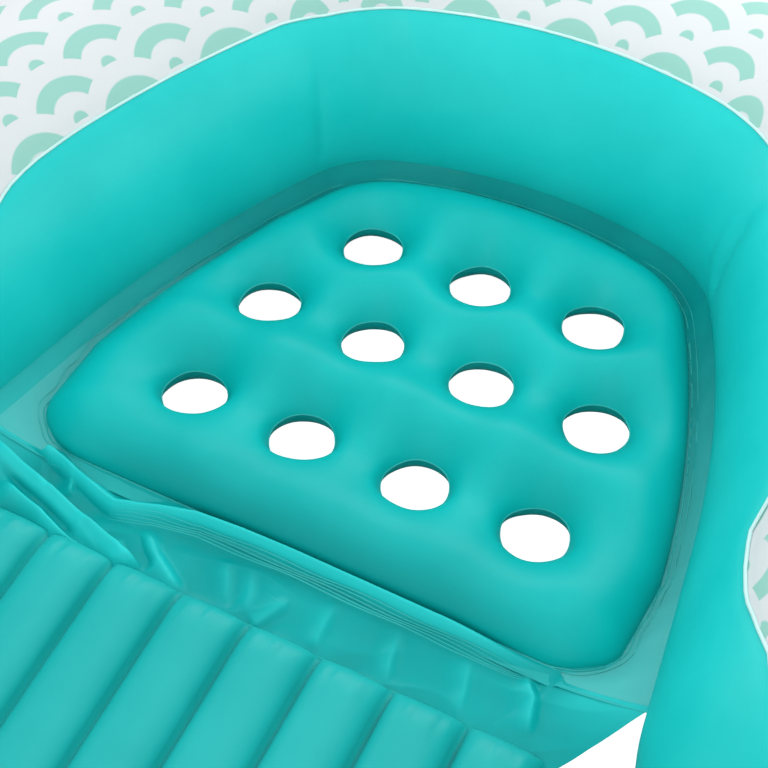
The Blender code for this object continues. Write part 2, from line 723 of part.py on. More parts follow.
def facet(first, second, column):
    """Middle and outward normal of one flat facet of the outer panel, between two stations."""
    angles = [outer_angles(first), outer_angles(second)]
    low = [tube_point(place, OUTER_RADIUS, angle[column]) for place, angle in zip((first, second), angles)]
    high = [tube_point(place, OUTER_RADIUS, angle[column + 1]) for place, angle in zip((first, second), angles)]
    middle = (low[0] + low[1] + high[0] + high[1]) / 4
    along = low[1] - low[0] + high[1] - high[0]
    up = high[0] - low[0] + high[1] - low[1]
    return middle, along.cross(up).normalized()


def make_valves(outer_panel, leg_under, finishes, group, cutters):
    centre = NOSE_END // 2
    for side, name in ((-1, "left_tube_valve"), (1, "right_tube_valve")):
        pair = sorted((centre + side * TUBE_VALVE_STEPS, centre + side * (TUBE_VALVE_STEPS + 1)))
        middle, normal = facet(PATH[pair[0]], PATH[pair[1]], TUBE_VALVE_COLUMN)
        cut(outer_panel, stem_cutter(name, middle, normal, cutters))
        make_valve(name, middle, normal, finishes, group, cutters)
    down = Vector((0, 0, -1))
    patch = lifted(SEAT_VALVE, SEAT_HEIGHT - SHEET_OFFSET - CROWN_UNDER * VALVE_SWELL - FILM / 2)
    make_valve("seat_valve", patch, down, finishes, group, cutters)
    x = -LEG_HALF_WIDTH + (LEG_VALVE_RIB + ACROSS_PLACE_SHARES[2]) * RIB_WIDTH
    ahead = LEG_FROM_HINGE + LEG_LENGTH * sum(ALONG_PLACE_SHARES[row] for row in LEG_VALVE_ROWS) / 2
    below = -(SHEET_OFFSET + RIB_HALF_HEIGHT + FILM / 2)
    spot = leg_point(x, ahead, below)
    normal = leg_point(x, ahead, below - 1) - spot
    cut(leg_under, stem_cutter("leg_rest_valve", spot, normal, cutters))
    make_valve("leg_rest_valve", spot, normal, finishes, group, cutters)


def main():
    clear_scene()
    group = new_collection("inflatable_armchair")
    cutters = new_collection("cutters")
    teal = material("teal_film", TEAL, 0.32)
    deep = material("translucent_teal_film", DEEP_TEAL, 0.25, 0.8)
    printed = material("printed_film", WHITE, 0.35)
    finishes = {"clear": material("clear_vinyl", CLEAR, 0.3, 0.8), "flap": material("flap_vinyl", DEEP_TEAL, 0.4)}
    tube_panel("arm_back_inner_panel", TUBE_RADIUS, inner_angles, group, teal)
    outer_panel = tube_panel("arm_back_outer_panel", OUTER_RADIUS, outer_angles, group, printed)
    tube_panel("arm_back_base_panel", BASE_RADIUS, base_angles, group, teal.copy())
    make_bulkhead(group, deep.copy())
    make_seat_top(group, teal.copy())
    make_seat_base(group, deep)
    make_hinge_film(group, deep.copy())
    leg_film("leg_rest_top_film", 1, group, teal.copy())
    leg_under = leg_film("leg_rest_bottom_film", -1, group, teal.copy())
    make_valves(outer_panel, leg_under, finishes, group, cutters)


main()
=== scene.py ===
"""Looks of the inflatable pool armchair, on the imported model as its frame. Metres, +Z up.

Lengths along y in the seat are first measured from the front row of holes, as in the part's source, and
then moved by Y_SHIFT.
"""
import json
from contextlib import contextmanager
from math import asin, atan, ceil, cos, hypot, pi, radians, sin, tau
import bmesh
import bpy
import numpy as np
from mathutils import Matrix, Vector
from mathutils.geometry import delaunay_2d_cdt


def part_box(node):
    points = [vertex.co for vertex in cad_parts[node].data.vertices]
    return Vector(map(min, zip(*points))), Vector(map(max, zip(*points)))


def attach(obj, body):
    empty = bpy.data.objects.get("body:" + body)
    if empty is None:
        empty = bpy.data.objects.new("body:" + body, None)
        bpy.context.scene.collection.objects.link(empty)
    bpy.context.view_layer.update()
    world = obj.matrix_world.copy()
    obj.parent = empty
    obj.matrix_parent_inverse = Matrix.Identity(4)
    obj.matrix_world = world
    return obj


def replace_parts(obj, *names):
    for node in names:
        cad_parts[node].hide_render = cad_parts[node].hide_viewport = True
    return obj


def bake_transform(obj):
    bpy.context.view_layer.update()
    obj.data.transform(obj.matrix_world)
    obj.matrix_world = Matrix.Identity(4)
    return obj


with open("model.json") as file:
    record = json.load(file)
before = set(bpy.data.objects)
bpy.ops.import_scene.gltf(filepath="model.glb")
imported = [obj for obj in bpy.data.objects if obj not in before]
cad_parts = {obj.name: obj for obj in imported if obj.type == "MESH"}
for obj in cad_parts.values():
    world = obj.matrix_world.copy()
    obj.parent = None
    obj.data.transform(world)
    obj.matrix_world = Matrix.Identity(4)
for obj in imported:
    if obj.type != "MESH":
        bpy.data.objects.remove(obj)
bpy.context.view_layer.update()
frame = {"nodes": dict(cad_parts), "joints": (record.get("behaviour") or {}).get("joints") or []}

MM = 0.001

# Sizes shared with the part's source
FILM = 0.0004
WELD_GAP = 0.0003
FILM_STEP = FILM + WELD_GAP
TUBE_RADIUS = 0.150
LAP = 0.015 / TUBE_RADIUS
BACK_REACH = 0.486
BOWS = ((0.561, 17.8, 14), (0.252, 47.1, 30), (1.050, 17.3, 18))
ARM_STRAIGHT = 0.145
STRAIGHT_STEPS = 14
NOSE_LENGTH = 0.150
NOSE_STEPS = 30
SEAT_LINE = radians(101)
SEAT_LINE_RADIUS = TUBE_RADIUS + WELD_GAP + FILM / 2
LOWER_SEAM = radians(118)
BASE_RADIUS = TUBE_RADIUS - 2 * FILM_STEP
TUBE_HEIGHT = BASE_RADIUS * cos((tau - 2 * LOWER_SEAM - LAP) / 10)
SEAT_HEIGHT = TUBE_HEIGHT - 0.050
HOLE_RADIUS = 0.0265
DIMPLE_REACH = 0.066
STRIP_WIDTH = 0.017
STRIP_FRONT_WIDTH = 0.030
PAD_FRONT = 0.097
CHAMFER_LENGTH = 0.022
CHAMFER_WIDTH = 0.033
CROWN_REACH = 0.085
CROWN_TOP = 0.042
CROWN_UNDER = 0.036
FRONT_HEM = 0.015
SHEET_OFFSET = (WELD_GAP + FILM) / 2
HINGE_Y = -PAD_FRONT - 0.030
HINGE_Z = SEAT_HEIGHT - 0.006
RIB_COUNT = 8
RIB_WIDTH = 0.058
RIB_HALF = 0.026
LEG_HALF_WIDTH = RIB_COUNT * RIB_WIDTH / 2
LEG_LENGTH = 0.460
LEG_FROM_HINGE = 0.033
LEG_REACH = LEG_FROM_HINGE + 0.90 * LEG_LENGTH
LEG_DEPTH = 0.85 * RIB_HALF + SHEET_OFFSET + FILM / 2
LEG_PITCH = asin(HINGE_Z / hypot(LEG_REACH, LEG_DEPTH)) - atan(LEG_DEPTH / LEG_REACH)
CHAIR_FRONT = HINGE_Y - (LEG_FROM_HINGE + LEG_LENGTH) * cos(LEG_PITCH)
Y_SHIFT = -(BACK_REACH + TUBE_RADIUS - FILM_STEP + CHAIR_FRONT) / 2


# Meshes and materials

def add_object(name, data):
    thing = bpy.data.objects.new(name, data)
    bpy.context.scene.collection.objects.link(thing)
    return thing


def finish_mesh(name, mesh, finish, body="chair"):
    """The visible piece of a mesh, with its material and slot, on a body if one is given."""
    mesh.name = name
    mesh.shade_smooth()
    thing = add_object(name, mesh)
    mesh.materials.append(finish)
    if body:
        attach(thing, body)
    return thing


def add_flat_map(mesh, flat):
    """A texture map of the film's flat positions in metres, one for each point of the mesh."""
    layer = mesh.uv_layers.new(name="flat")
    corners = np.empty(len(mesh.loops), dtype=np.int32)
    mesh.loops.foreach_get("vertex_index", corners)
    layer.data.foreach_set("uv", flat[corners].astype(np.float32).ravel())


def grid_mesh(points, plan, closed=False):
    """A mesh of quads from points[i, j], with a map of flat positions plan[i, j] in metres."""
    count, width = points.shape[:2]
    mesh = bpy.data.meshes.new("grid")
    index = np.arange(count * width).reshape(count, width)
    if closed:
        index = np.vstack([index, index[:1]])
    faces = np.stack([index[:-1, :-1], index[1:, :-1], index[1:, 1:], index[:-1, 1:]], -1).reshape(-1, 4)
    mesh.from_pydata(points.reshape(-1, 3).tolist(), [], faces.tolist())
    add_flat_map(mesh, plan.reshape(-1, 2))
    return mesh


@contextmanager
def edited(mesh):
    """A mesh opened as a bmesh, and written back afterwards."""
    bm = bmesh.new()
    bm.from_mesh(mesh)
    yield bm
    bm.to_mesh(mesh)
    bm.free()


def smooth_noise(x, y, seed):
    """Soft repeatable waves, about -1 to 1, from a few sines of fixed directions and phases."""
    rng = np.random.default_rng(seed)
    total = np.zeros_like(x, dtype=float)
    for turn, phase, rate in zip(rng.uniform(0, tau, 7), rng.uniform(0, tau, 7), rng.uniform(0.6, 1.7, 7)):
        total = total + np.sin((x * cos(turn) + y * sin(turn)) * rate + phase)
    return total / 4


def smoothstep(x):
    """0 below 0, 1 above 1 and a soft rise between them."""
    x = np.clip(x, 0, 1)
    return x * x * (3 - 2 * x)


def unit(steps):
    """Each row of steps, made one long."""
    return steps / np.linalg.norm(steps, axis=1)[:, None]


def circle(radius, turn):
    """Plan points about the origin."""
    return np.stack([radius * np.cos(turn), radius * np.sin(turn)], -1)


def bump_line(distance, width):
    """A soft ridge across a line, 1 on it and 0 beyond about two widths."""
    return np.exp(-(distance / width) ** 2)


def settle(made, values):
    """Gives a node its settings: sockets by their names, and the rest as properties."""
    for key, value in values.items():
        if key in made.inputs:
            made.inputs[key].default_value = value
        else:
            setattr(made, key, value)
    return made


def node(tree, kind, **values):
    return settle(tree.nodes.new(kind), values)


def shading(finish):
    """The node tree of a material and its shader."""
    finish.use_nodes = True
    return finish.node_tree, finish.node_tree.nodes["Principled BSDF"]


def link(source, target):
    """Links two sockets of one node tree."""
    source.id_data.links.new(source, target)


def map_range(tree, source, first, last, low, high, kind="SMOOTHSTEP"):
    """A value moved from the range first to last to the range low to high."""
    made = node(tree, "ShaderNodeMapRange", interpolation_type=kind)
    settle(made, {"From Min": first, "From Max": last, "To Min": low, "To Max": high})
    link(source, made.inputs["Value"])
    return made.outputs["Result"]


def ramp(tree, factor, stops):
    """A colour ramp of (place, colour) stops."""
    made = tree.nodes.new("ShaderNodeValToRGB")
    while len(made.color_ramp.elements) < len(stops):
        made.color_ramp.elements.new(0.5)
    for element, (place, colour) in zip(made.color_ramp.elements, stops):
        element.position = place
        element.color = (*colour, 1)
    link(factor, made.inputs["Fac"])
    return made.outputs["Color"]


def film_material(name, dark, light, roughness, coat=0.0, alpha=1.0, sheet_scale=9.0, specular=0.35):
    """Satin vinyl film: slight cloudiness, a fine emboss, long soft ripples and patchy gloss."""
    made = bpy.data.materials.new(name)
    tree, shader = shading(made)
    place = node(tree, "ShaderNodeTexCoord").outputs["Object"]

    def noise(scale, detail, rough, distortion=0.0):
        texture = node(tree, "ShaderNodeTexNoise", Scale=scale, Detail=detail, Roughness=rough,
                       Distortion=distortion)
        link(place, texture.inputs["Vector"])
        return texture.outputs["Fac"]

    cloud = ramp(tree, noise(sheet_scale, 4.0, 0.55), ((0.32, dark), (0.68, light)))
    link(cloud, shader.inputs["Base Color"])
    patches = noise(sheet_scale * 3, 5.0, 0.6)
    gloss = map_range(tree, patches, 0, 1, roughness - 0.06, roughness + 0.07, "LINEAR")
    link(gloss, shader.inputs["Roughness"])
    emboss = node(tree, "ShaderNodeBump", Strength=0.10, Distance=0.00012)
    link(noise(900.0, 2.0, 0.5), emboss.inputs["Height"])
    soft_wave = node(tree, "ShaderNodeBump", Strength=0.35, Distance=0.0005)
    link(noise(26.0, 3.0, 0.45, 0.6), soft_wave.inputs["Height"])
    link(emboss.outputs["Normal"], soft_wave.inputs["Normal"])
    link(soft_wave.outputs["Normal"], shader.inputs["Normal"])
    settle(shader, {"Coat Weight": coat, "Coat Roughness": 0.28, "Specular IOR Level": specular,
                    "Alpha": alpha})
    made.diffuse_color = (*light, alpha)
    return made


def printed_material(name, white, mint):
    """White film with a printed scallop: rows of fans in pale mint, as many plain fabrics carry."""
    brighter = tuple(min(1, c * 1.04) for c in white)
    made = film_material(name, white, brighter, 0.36, 0.12, sheet_scale=6.0)
    tree, shader = shading(made)
    flat = node(tree, "ShaderNodeUVMap", uv_map="flat")
    split = node(tree, "ShaderNodeSeparateXYZ")
    link(flat.outputs["UV"], split.inputs["Vector"])

    def math(kind, first, second=None):
        step_node = node(tree, "ShaderNodeMath", operation=kind)
        for socket, value in zip(step_node.inputs, (first, second)):
            if isinstance(value, (int, float)):
                socket.default_value = value
            elif value is not None:
                link(value, socket)
        return step_node.outputs["Value"]

    u = math("DIVIDE", split.outputs["X"], FAN_PITCH)
    v = math("DIVIDE", split.outputs["Y"], FAN_RISE)
    row = math("FLOOR", v)
    taken = 0.0
    shade = 0.0
    # Fans stand on rows a quarter of their width apart; the lowest row that reaches a point covers the rest
    for step in (1, 0, -1):
        level = math("SUBTRACT", row, step)
        odd = math("MULTIPLY", math("FLOORED_MODULO", level, 2.0), 0.5)
        across = math("SUBTRACT", math("FLOORED_MODULO", math("SUBTRACT", u, odd), 1.0), 0.5)
        up = math("MULTIPLY", math("SUBTRACT", v, level), FAN_RISE / FAN_PITCH)
        radius = math("SQRT", math("ADD", math("MULTIPLY", across, across), math("MULTIPLY", up, up)))
        covered = math("LESS_THAN", radius, 0.5)
        ring = math("PINGPONG", math("ADD", math("MULTIPLY", radius, FAN_RINGS), 0.5), 0.5)
        inked = math("MULTIPLY", math("SUBTRACT", ring, INK_EDGE), INK_SHARPNESS)
        ink = math("MINIMUM", 1.0, math("MAXIMUM", 0.0, inked))
        fresh = math("MULTIPLY", math("SUBTRACT", 1.0, taken), covered)
        shade = math("ADD", shade, math("MULTIPLY", ink, fresh))
        taken = math("MAXIMUM", taken, covered)
    blended(tree, shade, shader, mint)
    return made


def clear_with_painted_light_towards_front(finish, back, front, alpha, pale):
    """Thin film lets the pale floor show through where nothing lies under it, ahead of the seat, growing
    clearer towards the front; its colour is painted paler there too, a painted light, over a darker base at
    the back, a painted shade.
    """
    tree, shader = shading(finish)
    place = node(tree, "ShaderNodeTexCoord")
    split = node(tree, "ShaderNodeSeparateXYZ")
    link(place.outputs["Object"], split.inputs["Vector"])
    link(map_range(tree, split.outputs["Y"], front, back, alpha, 1.0), shader.inputs["Alpha"])
    # Painted light: the base colour fades to the paler colour towards the front.
    blended(tree, map_range(tree, split.outputs["Y"], front, back, 1.0, 0.0), shader, pale)


def blended(tree, factor, shader, colour):
    """The shader's colour, mixed with another by a factor."""
    mix = node(tree, "ShaderNodeMix", data_type="RGBA")
    link(factor, mix.inputs["Factor"])
    link(shader.inputs["Base Color"].links[0].from_socket, mix.inputs[MIX_FIRST])
    mix.inputs[MIX_SECOND].default_value = (*colour, 1)
    link(mix.outputs[MIX_RESULT], shader.inputs["Base Color"])


def painted_light_on_creases(finish, ridge, valley):
    """Painted light on creased film: a painted highlight on its ridges and painted shade in its valleys, from
    its crease attribute.
    """
    tree, shader = shading(finish)
    crease = node(tree, "ShaderNodeAttribute", attribute_name="crease")
    # Above 0 the painted highlight colour is mixed in, below 0 the painted shade colour.
    for sign, colour in ((1.0, ridge), (-1.0, valley)):
        share = node(tree, "ShaderNodeMath", operation="MULTIPLY", use_clamp=True)
        share.inputs[1].default_value = sign
        link(crease.outputs["Fac"], share.inputs[0])
        blended(tree, share.outputs["Value"], shader, colour)


# Colour sockets of a mix node, which has others of the same names
MIX_FIRST = 6
MIX_SECOND = 7
MIX_RESULT = 2

FAN_PITCH = 0.110
FAN_RISE = 0.0275
FAN_RINGS = 3.5
INK_EDGE = 0.24
INK_SHARPNESS = 22.0
# Painted shade colour for the pad's film along its front weld.
PAINTED_SHADE_TEAL = (0.0, 0.20, 0.20)
TEAL_DARK = (0.0, 0.470, 0.456)
TEAL_LIGHT = (0.002, 0.526, 0.512)
TEAL = film_material("teal_vinyl_film", (0.004, 0.580, 0.565), (0.014, 0.645, 0.625), 0.40, 0.04)
TEAL_PAD = film_material("teal_vinyl_pad", TEAL_DARK, TEAL_LIGHT, 0.40, specular=0.24)
TEAL_UNDER = film_material("teal_vinyl_underside", TEAL_DARK, TEAL_LIGHT, 0.45, specular=0.1)
TEAL_LEG = film_material("teal_vinyl_ribs", (0.008, 0.450, 0.440), (0.014, 0.502, 0.490), 0.42)
# Dark base colour: painted shade standing for the shadow under the tube and seat seen through the strip's
# film, painted paler towards the front below.
TEAL_CLEAR_PAINTED_LIGHT = film_material("translucent_teal_film", (0.0, 0.27, 0.27), (0.0, 0.33, 0.325), 0.36,
                           specular=0.12)
TEAL_FOLD = film_material("creased_teal_film", (0.0, 0.375, 0.375), (0.0, 0.437, 0.432), 0.32, 0.08,
                          specular=0.2)
# Painted light on the strip: its colour fades from the dark base at the back to a paler teal ahead of the
# seat, where it also grows clearer.
clear_with_painted_light_towards_front(TEAL_CLEAR_PAINTED_LIGHT, 0.30, -0.20, 0.95, (0.03, 0.52, 0.515))
# Painted shade on the pad's film along its front weld; its share is never above 0, so the lighter colour is
# not used.
painted_light_on_creases(TEAL_PAD, TEAL_LIGHT, PAINTED_SHADE_TEAL)
# Painted highlight on the fold film's ridges and painted shade in its valleys.
painted_light_on_creases(TEAL_FOLD, (0.020, 0.66, 0.655), (0.0, 0.20, 0.21))
PRINTED = printed_material("printed_vinyl_film", (0.67, 0.71, 0.73), (0.30, 0.61, 0.54))
EDGE = film_material("weld_edge_vinyl", (0.50, 0.82, 0.80), (0.64, 0.90, 0.88), 0.35, 0.2)
EDGE_TEAL = film_material("weld_edge_teal", (0.02, 0.46, 0.44), (0.05, 0.56, 0.54), 0.36, 0.2)
CLEAR = film_material("clear_soft_vinyl", (0.60, 0.80, 0.79), (0.70, 0.86, 0.85), 0.26, 0.4, alpha=0.78)
FLAP = film_material("soft_vinyl_flap", (0.02, 0.36, 0.34), (0.04, 0.42, 0.40), 0.42, 0.08)


# Path of the tube

def half_path():
    """Stations (x, y, heading, nose angle, length so far) from the middle of the back to one nose."""
    x, y, heading, run = 0.0, BACK_REACH, 0.0, 0.0
    stations = [(x, y, heading, 0.0, run)]
    turns = [(2 * radius * sin(radians(degrees) / steps / 2), radians(degrees) / steps, steps)
             for radius, degrees, steps in BOWS]
    for chord, turn, steps in turns + [(ARM_STRAIGHT / STRAIGHT_STEPS, 0.0, STRAIGHT_STEPS)]:
        for _ in range(steps):
            x += chord * cos(heading + turn / 2)
            y -= chord * sin(heading + turn / 2)
            heading += turn
            run += chord
            stations.append((x, y, heading, 0.0, run))
    for k in range(NOSE_STEPS):
        nose = (k + 1) / NOSE_STEPS * pi / 2
        stations.append((x, y, heading, nose, run + NOSE_LENGTH * sin(nose)))
    return stations


def whole_path():
    """The stations from the nose on the -x side over the back to the nose on the +x side."""
    right = half_path()
    left = [(-x, y, -heading, nose, -run) for x, y, heading, nose, run in right[:0:-1]]
    return np.array(left + right)


PATH = whole_path()
SIDE = np.where(PATH[:, 0] < 0, -1.0, 1.0)
FULL = PATH[NOSE_STEPS:-NOSE_STEPS]


def tube_points(radius, angles):
    """Points on the tube at every station; radius and angles are [station, column], angles from the crest."""
    x, y, heading, nose, _ = (column[:, None] for column in PATH.T)
    side = SIDE[:, None]
    reach = (NOSE_LENGTH - TUBE_RADIUS + radius) * np.sin(nose) * side
    ring = radius * np.cos(nose)
    px = x + np.cos(heading) * reach + np.sin(heading) * ring * np.sin(angles)
    py = y + Y_SHIFT - np.sin(heading) * reach + np.cos(heading) * ring * np.sin(angles)
    pz = TUBE_HEIGHT + ring * np.cos(angles)
    return np.stack([px, py, pz], -1)


# The border is the visible edge between the teal and the printed film. This is its angle from the crest, in
# degrees, by the place along y of each station's foremost point, in millimetres.
BORDER_TURNS = ((-271, 12), (-260, -3), (-235, -17.6), (-195, -29), (-155, -34.5), (-120, -38),
                (-100, -42.5), (-90, -44.5), (-79, -47), (-69, -48.5), (-49, -50.5), (-28, -51.6),
                (-18, -51.8), (-8, -50.3), (3, -48.6), (20, -46.2), (50, -44.6), (100, -44), (330, -44),
                (390, -45.5), (440, -45), (486, -44))
BORDER_PLACES = (PATH[:, 1] - np.sin(PATH[:, 3]) * NOSE_LENGTH) / MM
BORDER = np.radians(np.interp(BORDER_PLACES, *np.array(BORDER_TURNS).T))

# Folds at the tube's turns: the place along the path, the lean with the angle, the depth and the width
CORNER_FOLDS = ((0.372, 0.012, 0.0060, 0.015), (-0.352, -0.012, 0.0035, 0.014), (0.318, 0.010, 0.0008, 0.012),
                (-0.405, -0.012, 0.0010, 0.012))
FOLD_MIDDLE = -1.42
FOLD_ROOT = -1.2
TUBE_WAVES = 0.0005
WELD_VALLEY = 0.0011
PUCKER_SHOWN = 0.00025
PUCKER_LOWER = 0.0004


def tube_relief(angles, seams):
    """Inwards dip of the film: shallow valleys along the welds, puckers beside them, and long soft waves."""
    run = PATH[:, 4][:, None]
    relief = TUBE_WAVES * smooth_noise(run * 14, angles * 3.0, 3)
    for seam, pucker in seams:
        off = (angles - seam[:, None]) * TUBE_RADIUS
        relief = relief - WELD_VALLEY * bump_line(off, 0.006)
        gathers = np.sin(run * 210 + 2.4 * np.sin(run * 37)) * (0.5 + 0.5 * np.sin(run * 23 + 1.0))
        relief = relief + pucker * gathers * bump_line(np.abs(off) - 0.004, 0.012)
    return relief


def corner_crease(angles):
    """Soft folds down the inner side of the tube where it turns most."""
    run = PATH[:, 4][:, None]
    along = bump_line(angles - FOLD_MIDDLE, 0.50) * smoothstep((angles + SEAT_LINE - 0.02) / 0.25)
    along = along * smoothstep((BORDER[:, None] - 0.10 - angles) / 0.35)
    fall = 0
    for place, lean, depth, width in CORNER_FOLDS:
        fall = fall - depth * along * bump_line(run - place + lean * (angles - FOLD_ROOT), width)
    return fall


def flattened(points):
    """The film stands on the ground, so its underside is pressed level there."""
    points[..., 2] = np.maximum(points[..., 2], 0)
    return points


PRINT_MIDDLE = radians(50)
LOWER_WELD = np.full(len(PATH), LOWER_SEAM)


def tube_skin(name, radius, first, last, columns, finish, nodes, crease=False):
    """One panel's film between two lines of angles; the print's map stays even round the noses."""
    angles = first[:, None] + (last - first)[:, None] * np.linspace(0, 1, columns)
    seams = ((BORDER, PUCKER_SHOWN), (-LOWER_WELD, PUCKER_LOWER), (LOWER_WELD, PUCKER_LOWER))
    swell = tube_relief(angles, seams)
    if crease:
        swell = swell + corner_crease(angles)
    nose = PATH[:, 3][:, None]
    points = flattened(tube_points(radius + swell * np.cos(nose) ** 0.5, angles))
    turn = PRINT_MIDDLE + (angles - PRINT_MIDDLE) * np.cos(nose)
    along = PATH[:, 4][:, None] + SIDE[:, None] * NOSE_LENGTH * (nose - np.sin(nose))
    plan = np.stack([np.broadcast_to(along, angles.shape), turn * TUBE_RADIUS], -1)
    skin = finish_mesh(name, grid_mesh(points, plan), finish)
    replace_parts(skin, nodes)
    return skin


def tube():
    tube_skin("arm_back_inner_skin", TUBE_RADIUS, -LOWER_WELD - LAP / 2, BORDER, 76, TEAL,
              "arm_back_inner_panel", True)
    outer = tube_skin("arm_back_outer_skin", TUBE_RADIUS - FILM_STEP, BORDER - LAP, LOWER_WELD + LAP / 2, 130,
                      PRINTED, "arm_back_outer_panel")
    for name in ("left_tube_valve", "right_tube_valve"):
        opened(outer, valve_place(name), 5)
    tube_skin("arm_back_base_skin", BASE_RADIUS, LOWER_WELD - LAP / 2, tau - LOWER_WELD + LAP / 2, 90, TEAL,
              "arm_back_base_panel")


def bead(name, line, radius, finish, body="chair", closed=False, sides=8):
    """A thin round edge along a line of points, of one radius or one for each point."""
    line = np.asarray(line, dtype=float)
    ahead = np.roll(line, -1, 0) - np.roll(line, 1, 0)
    if not closed:
        ahead[0] = line[1] - line[0]
        ahead[-1] = line[-1] - line[-2]
    ahead = unit(ahead)
    hint = np.where(np.abs(ahead[:, 2:3]) > 0.9, (1.0, 0, 0), (0, 0, 1.0))
    across = unit(np.cross(ahead, hint))
    up = np.cross(across, ahead)
    turn = np.linspace(0, tau, sides + 1)
    ring = across[:, None] * np.cos(turn)[None, :, None] + up[:, None] * np.sin(turn)[None, :, None]
    points = line[:, None] + ring * np.broadcast_to(radius, len(line))[:, None, None]
    plan = np.zeros(points.shape[:2] + (2,))
    return finish_mesh(name, grid_mesh(points, plan, closed), finish, body)


def weld_beads():
    """The thin edges of the tube's three welds, sunk a little in the film."""
    for name, angles, radius, finish, slot in (
        ("crest_weld_edge", BORDER, 0.0013, EDGE, "printed_film"),
        ("outer_lower_weld_edge", LOWER_WELD + LAP / 2, 0.0008, EDGE_TEAL, "teal_film"),
        ("inner_lower_weld_edge", -LOWER_WELD - LAP / 2, 0.0008, EDGE_TEAL, "teal_film"),
    ):
        line = tube_points(np.full((len(PATH), 1), TUBE_RADIUS - 0.0006), angles[:, None])[:, 0]
        bead(name, line, radius, finish)


def bulkhead():
    """Flat film across the tube between its two chambers, bowed a little in its middle, with a narrow rim
    round its edge.
    """
    flat_part = 0.1445
    radii = np.concatenate([np.linspace(0.0005, flat_part, 26), [0.1452]])
    turn = np.linspace(0, tau, 97)[:-1]
    bow = 0.0006 * np.cos(radii / flat_part * pi / 2)
    points = np.stack([np.broadcast_to(bow[None, :], (len(turn), len(radii))),
                       BACK_REACH + Y_SHIFT + np.outer(np.cos(turn), radii),
                       TUBE_HEIGHT + np.outer(np.sin(turn), radii)], -1)
    points[..., 2] = np.maximum(points[..., 2], 0.0022)
    disc = finish_mesh("tube_bulkhead_film", grid_mesh(points, points[..., 1:], True), TEAL_CLEAR_PAINTED_LIGHT)
    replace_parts(disc, "tube_bulkhead")


# Seat

def from_path(inward, stations):
    """A plan line beside the tube's path."""
    return np.stack([stations[:, 0] - inward * np.sin(stations[:, 2]),
                     stations[:, 1] - inward * np.cos(stations[:, 2])], -1)


def at_depth(ring, limit):
    """The part of an open line behind a limit along y, cut off right on it."""
    kept = np.nonzero(ring[:, 1] > limit)[0]
    first, last = kept[0], kept[-1]

    def crossing(inside, outside):
        share = (inside[1] - limit) / (inside[1] - outside[1])
        return inside + (outside - inside) * share

    return np.vstack([crossing(ring[first], ring[first - 1]), ring[first:last + 1],
                      crossing(ring[last], ring[last + 1])])


def rounded_corner(before, corner, after, cut):
    """Seven points of a soft corner between two straight sides."""
    start = corner + (before - corner) / np.linalg.norm(before - corner) * cut
    end = corner + (after - corner) / np.linalg.norm(after - corner) * cut
    share = np.linspace(0, 1, 7)[:, None]
    return (1 - share) ** 2 * start + 2 * share * (1 - share) * corner + share ** 2 * end


def pad_outline():
    """Closed outline of the pad, clockwise from its left side, with a line of points every 5 mm or so."""
    inward = SEAT_LINE_RADIUS * sin(SEAT_LINE) + STRIP_WIDTH
    ring = from_path(inward, FULL[STRAIGHT_STEPS:-STRAIGHT_STEPS])
    side = ring[-1, 0]
    heading = FULL[-1, 2]
    corner_y = -PAD_FRONT + CHAMFER_LENGTH
    corner_x = side - STRIP_FRONT_WIDTH + STRIP_WIDTH + CHAMFER_LENGTH * sin(heading / 2) ** 2
    right = np.array([ring[-1], (corner_x, corner_y), (corner_x - CHAMFER_WIDTH, -PAD_FRONT),
                      (0, -PAD_FRONT)])
    turned = np.vstack([rounded_corner(*right[:3], 0.014), rounded_corner(*right[1:], 0.016)])
    return resampled(np.vstack([ring, turned, turned[::-1] * [-1, 1]]), 0.005)


def resampled(ring, step):
    """The same closed line with points at an even spacing."""
    closed = np.vstack([ring, ring[:1]])
    run = np.concatenate([[0], np.cumsum(np.linalg.norm(np.diff(closed, axis=0), axis=1))])
    places = np.linspace(0, run[-1], ceil(run[-1] / step) + 1)[:-1]
    return np.stack([np.interp(places, run, closed[:, k]) for k in range(closed.shape[1])], -1)


# Each row of holes, from the front: its count, its step and its place
HOLE_ROWS = ((4, 0.100, 0), (4, 0.100, 0.118), (3, 0.105, 0.221))
HOLES = np.array([((k - (count - 1) / 2) * step, y) for count, step, y in HOLE_ROWS for k in range(count)])
PAD = pad_outline()
SEAT_VALVE = np.array([0, 0.047 - PAD_FRONT])


def line_distance(spots, line, closed):
    """Distance in plan from each spot to a line of points."""
    ends = np.roll(line, -1, 0) if closed else line[1:]
    starts = line if closed else line[:-1]
    side = ends - starts
    nearest = np.full(len(spots), 1e9)
    for start, step in zip(starts, side):
        share = np.clip(((spots - start) @ step) / (step @ step), 0, 1)
        nearest = np.minimum(nearest, np.linalg.norm(spots - start - share[:, None] * step, axis=1))
    return nearest


def inside(spots, outline):
    """Which plan points lie inside a closed outline."""
    crossed = np.zeros(len(spots), dtype=bool)
    for start, end in zip(outline, np.roll(outline, -1, 0)):
        if start[1] == end[1]:
            continue
        over = (start[1] > spots[:, 1]) != (end[1] > spots[:, 1])
        reach = start[0] + (spots[:, 1] - start[1]) / (end[1] - start[1]) * (end[0] - start[0])
        crossed ^= over & (spots[:, 0] < reach)
    return crossed


def rounded(share, _=0):
    """A quarter of a circle from 0 to 1."""
    share = np.clip(share, 0, 1)
    return np.sqrt(1 - (1 - share) ** 2)


def dimple(share, lip=0):
    """A hole's pull on the film: a soft funnel, with the film puffed up over a share of it at the weld."""
    share = np.clip(share, 0, 1)
    funnel = 1 - (1 - share) ** (DIMPLE_POWER - LIP_SOFTENING * lip)
    return lip * (1 - np.exp(-share / LIP_WIDTH)) + (1 - lip) * funnel


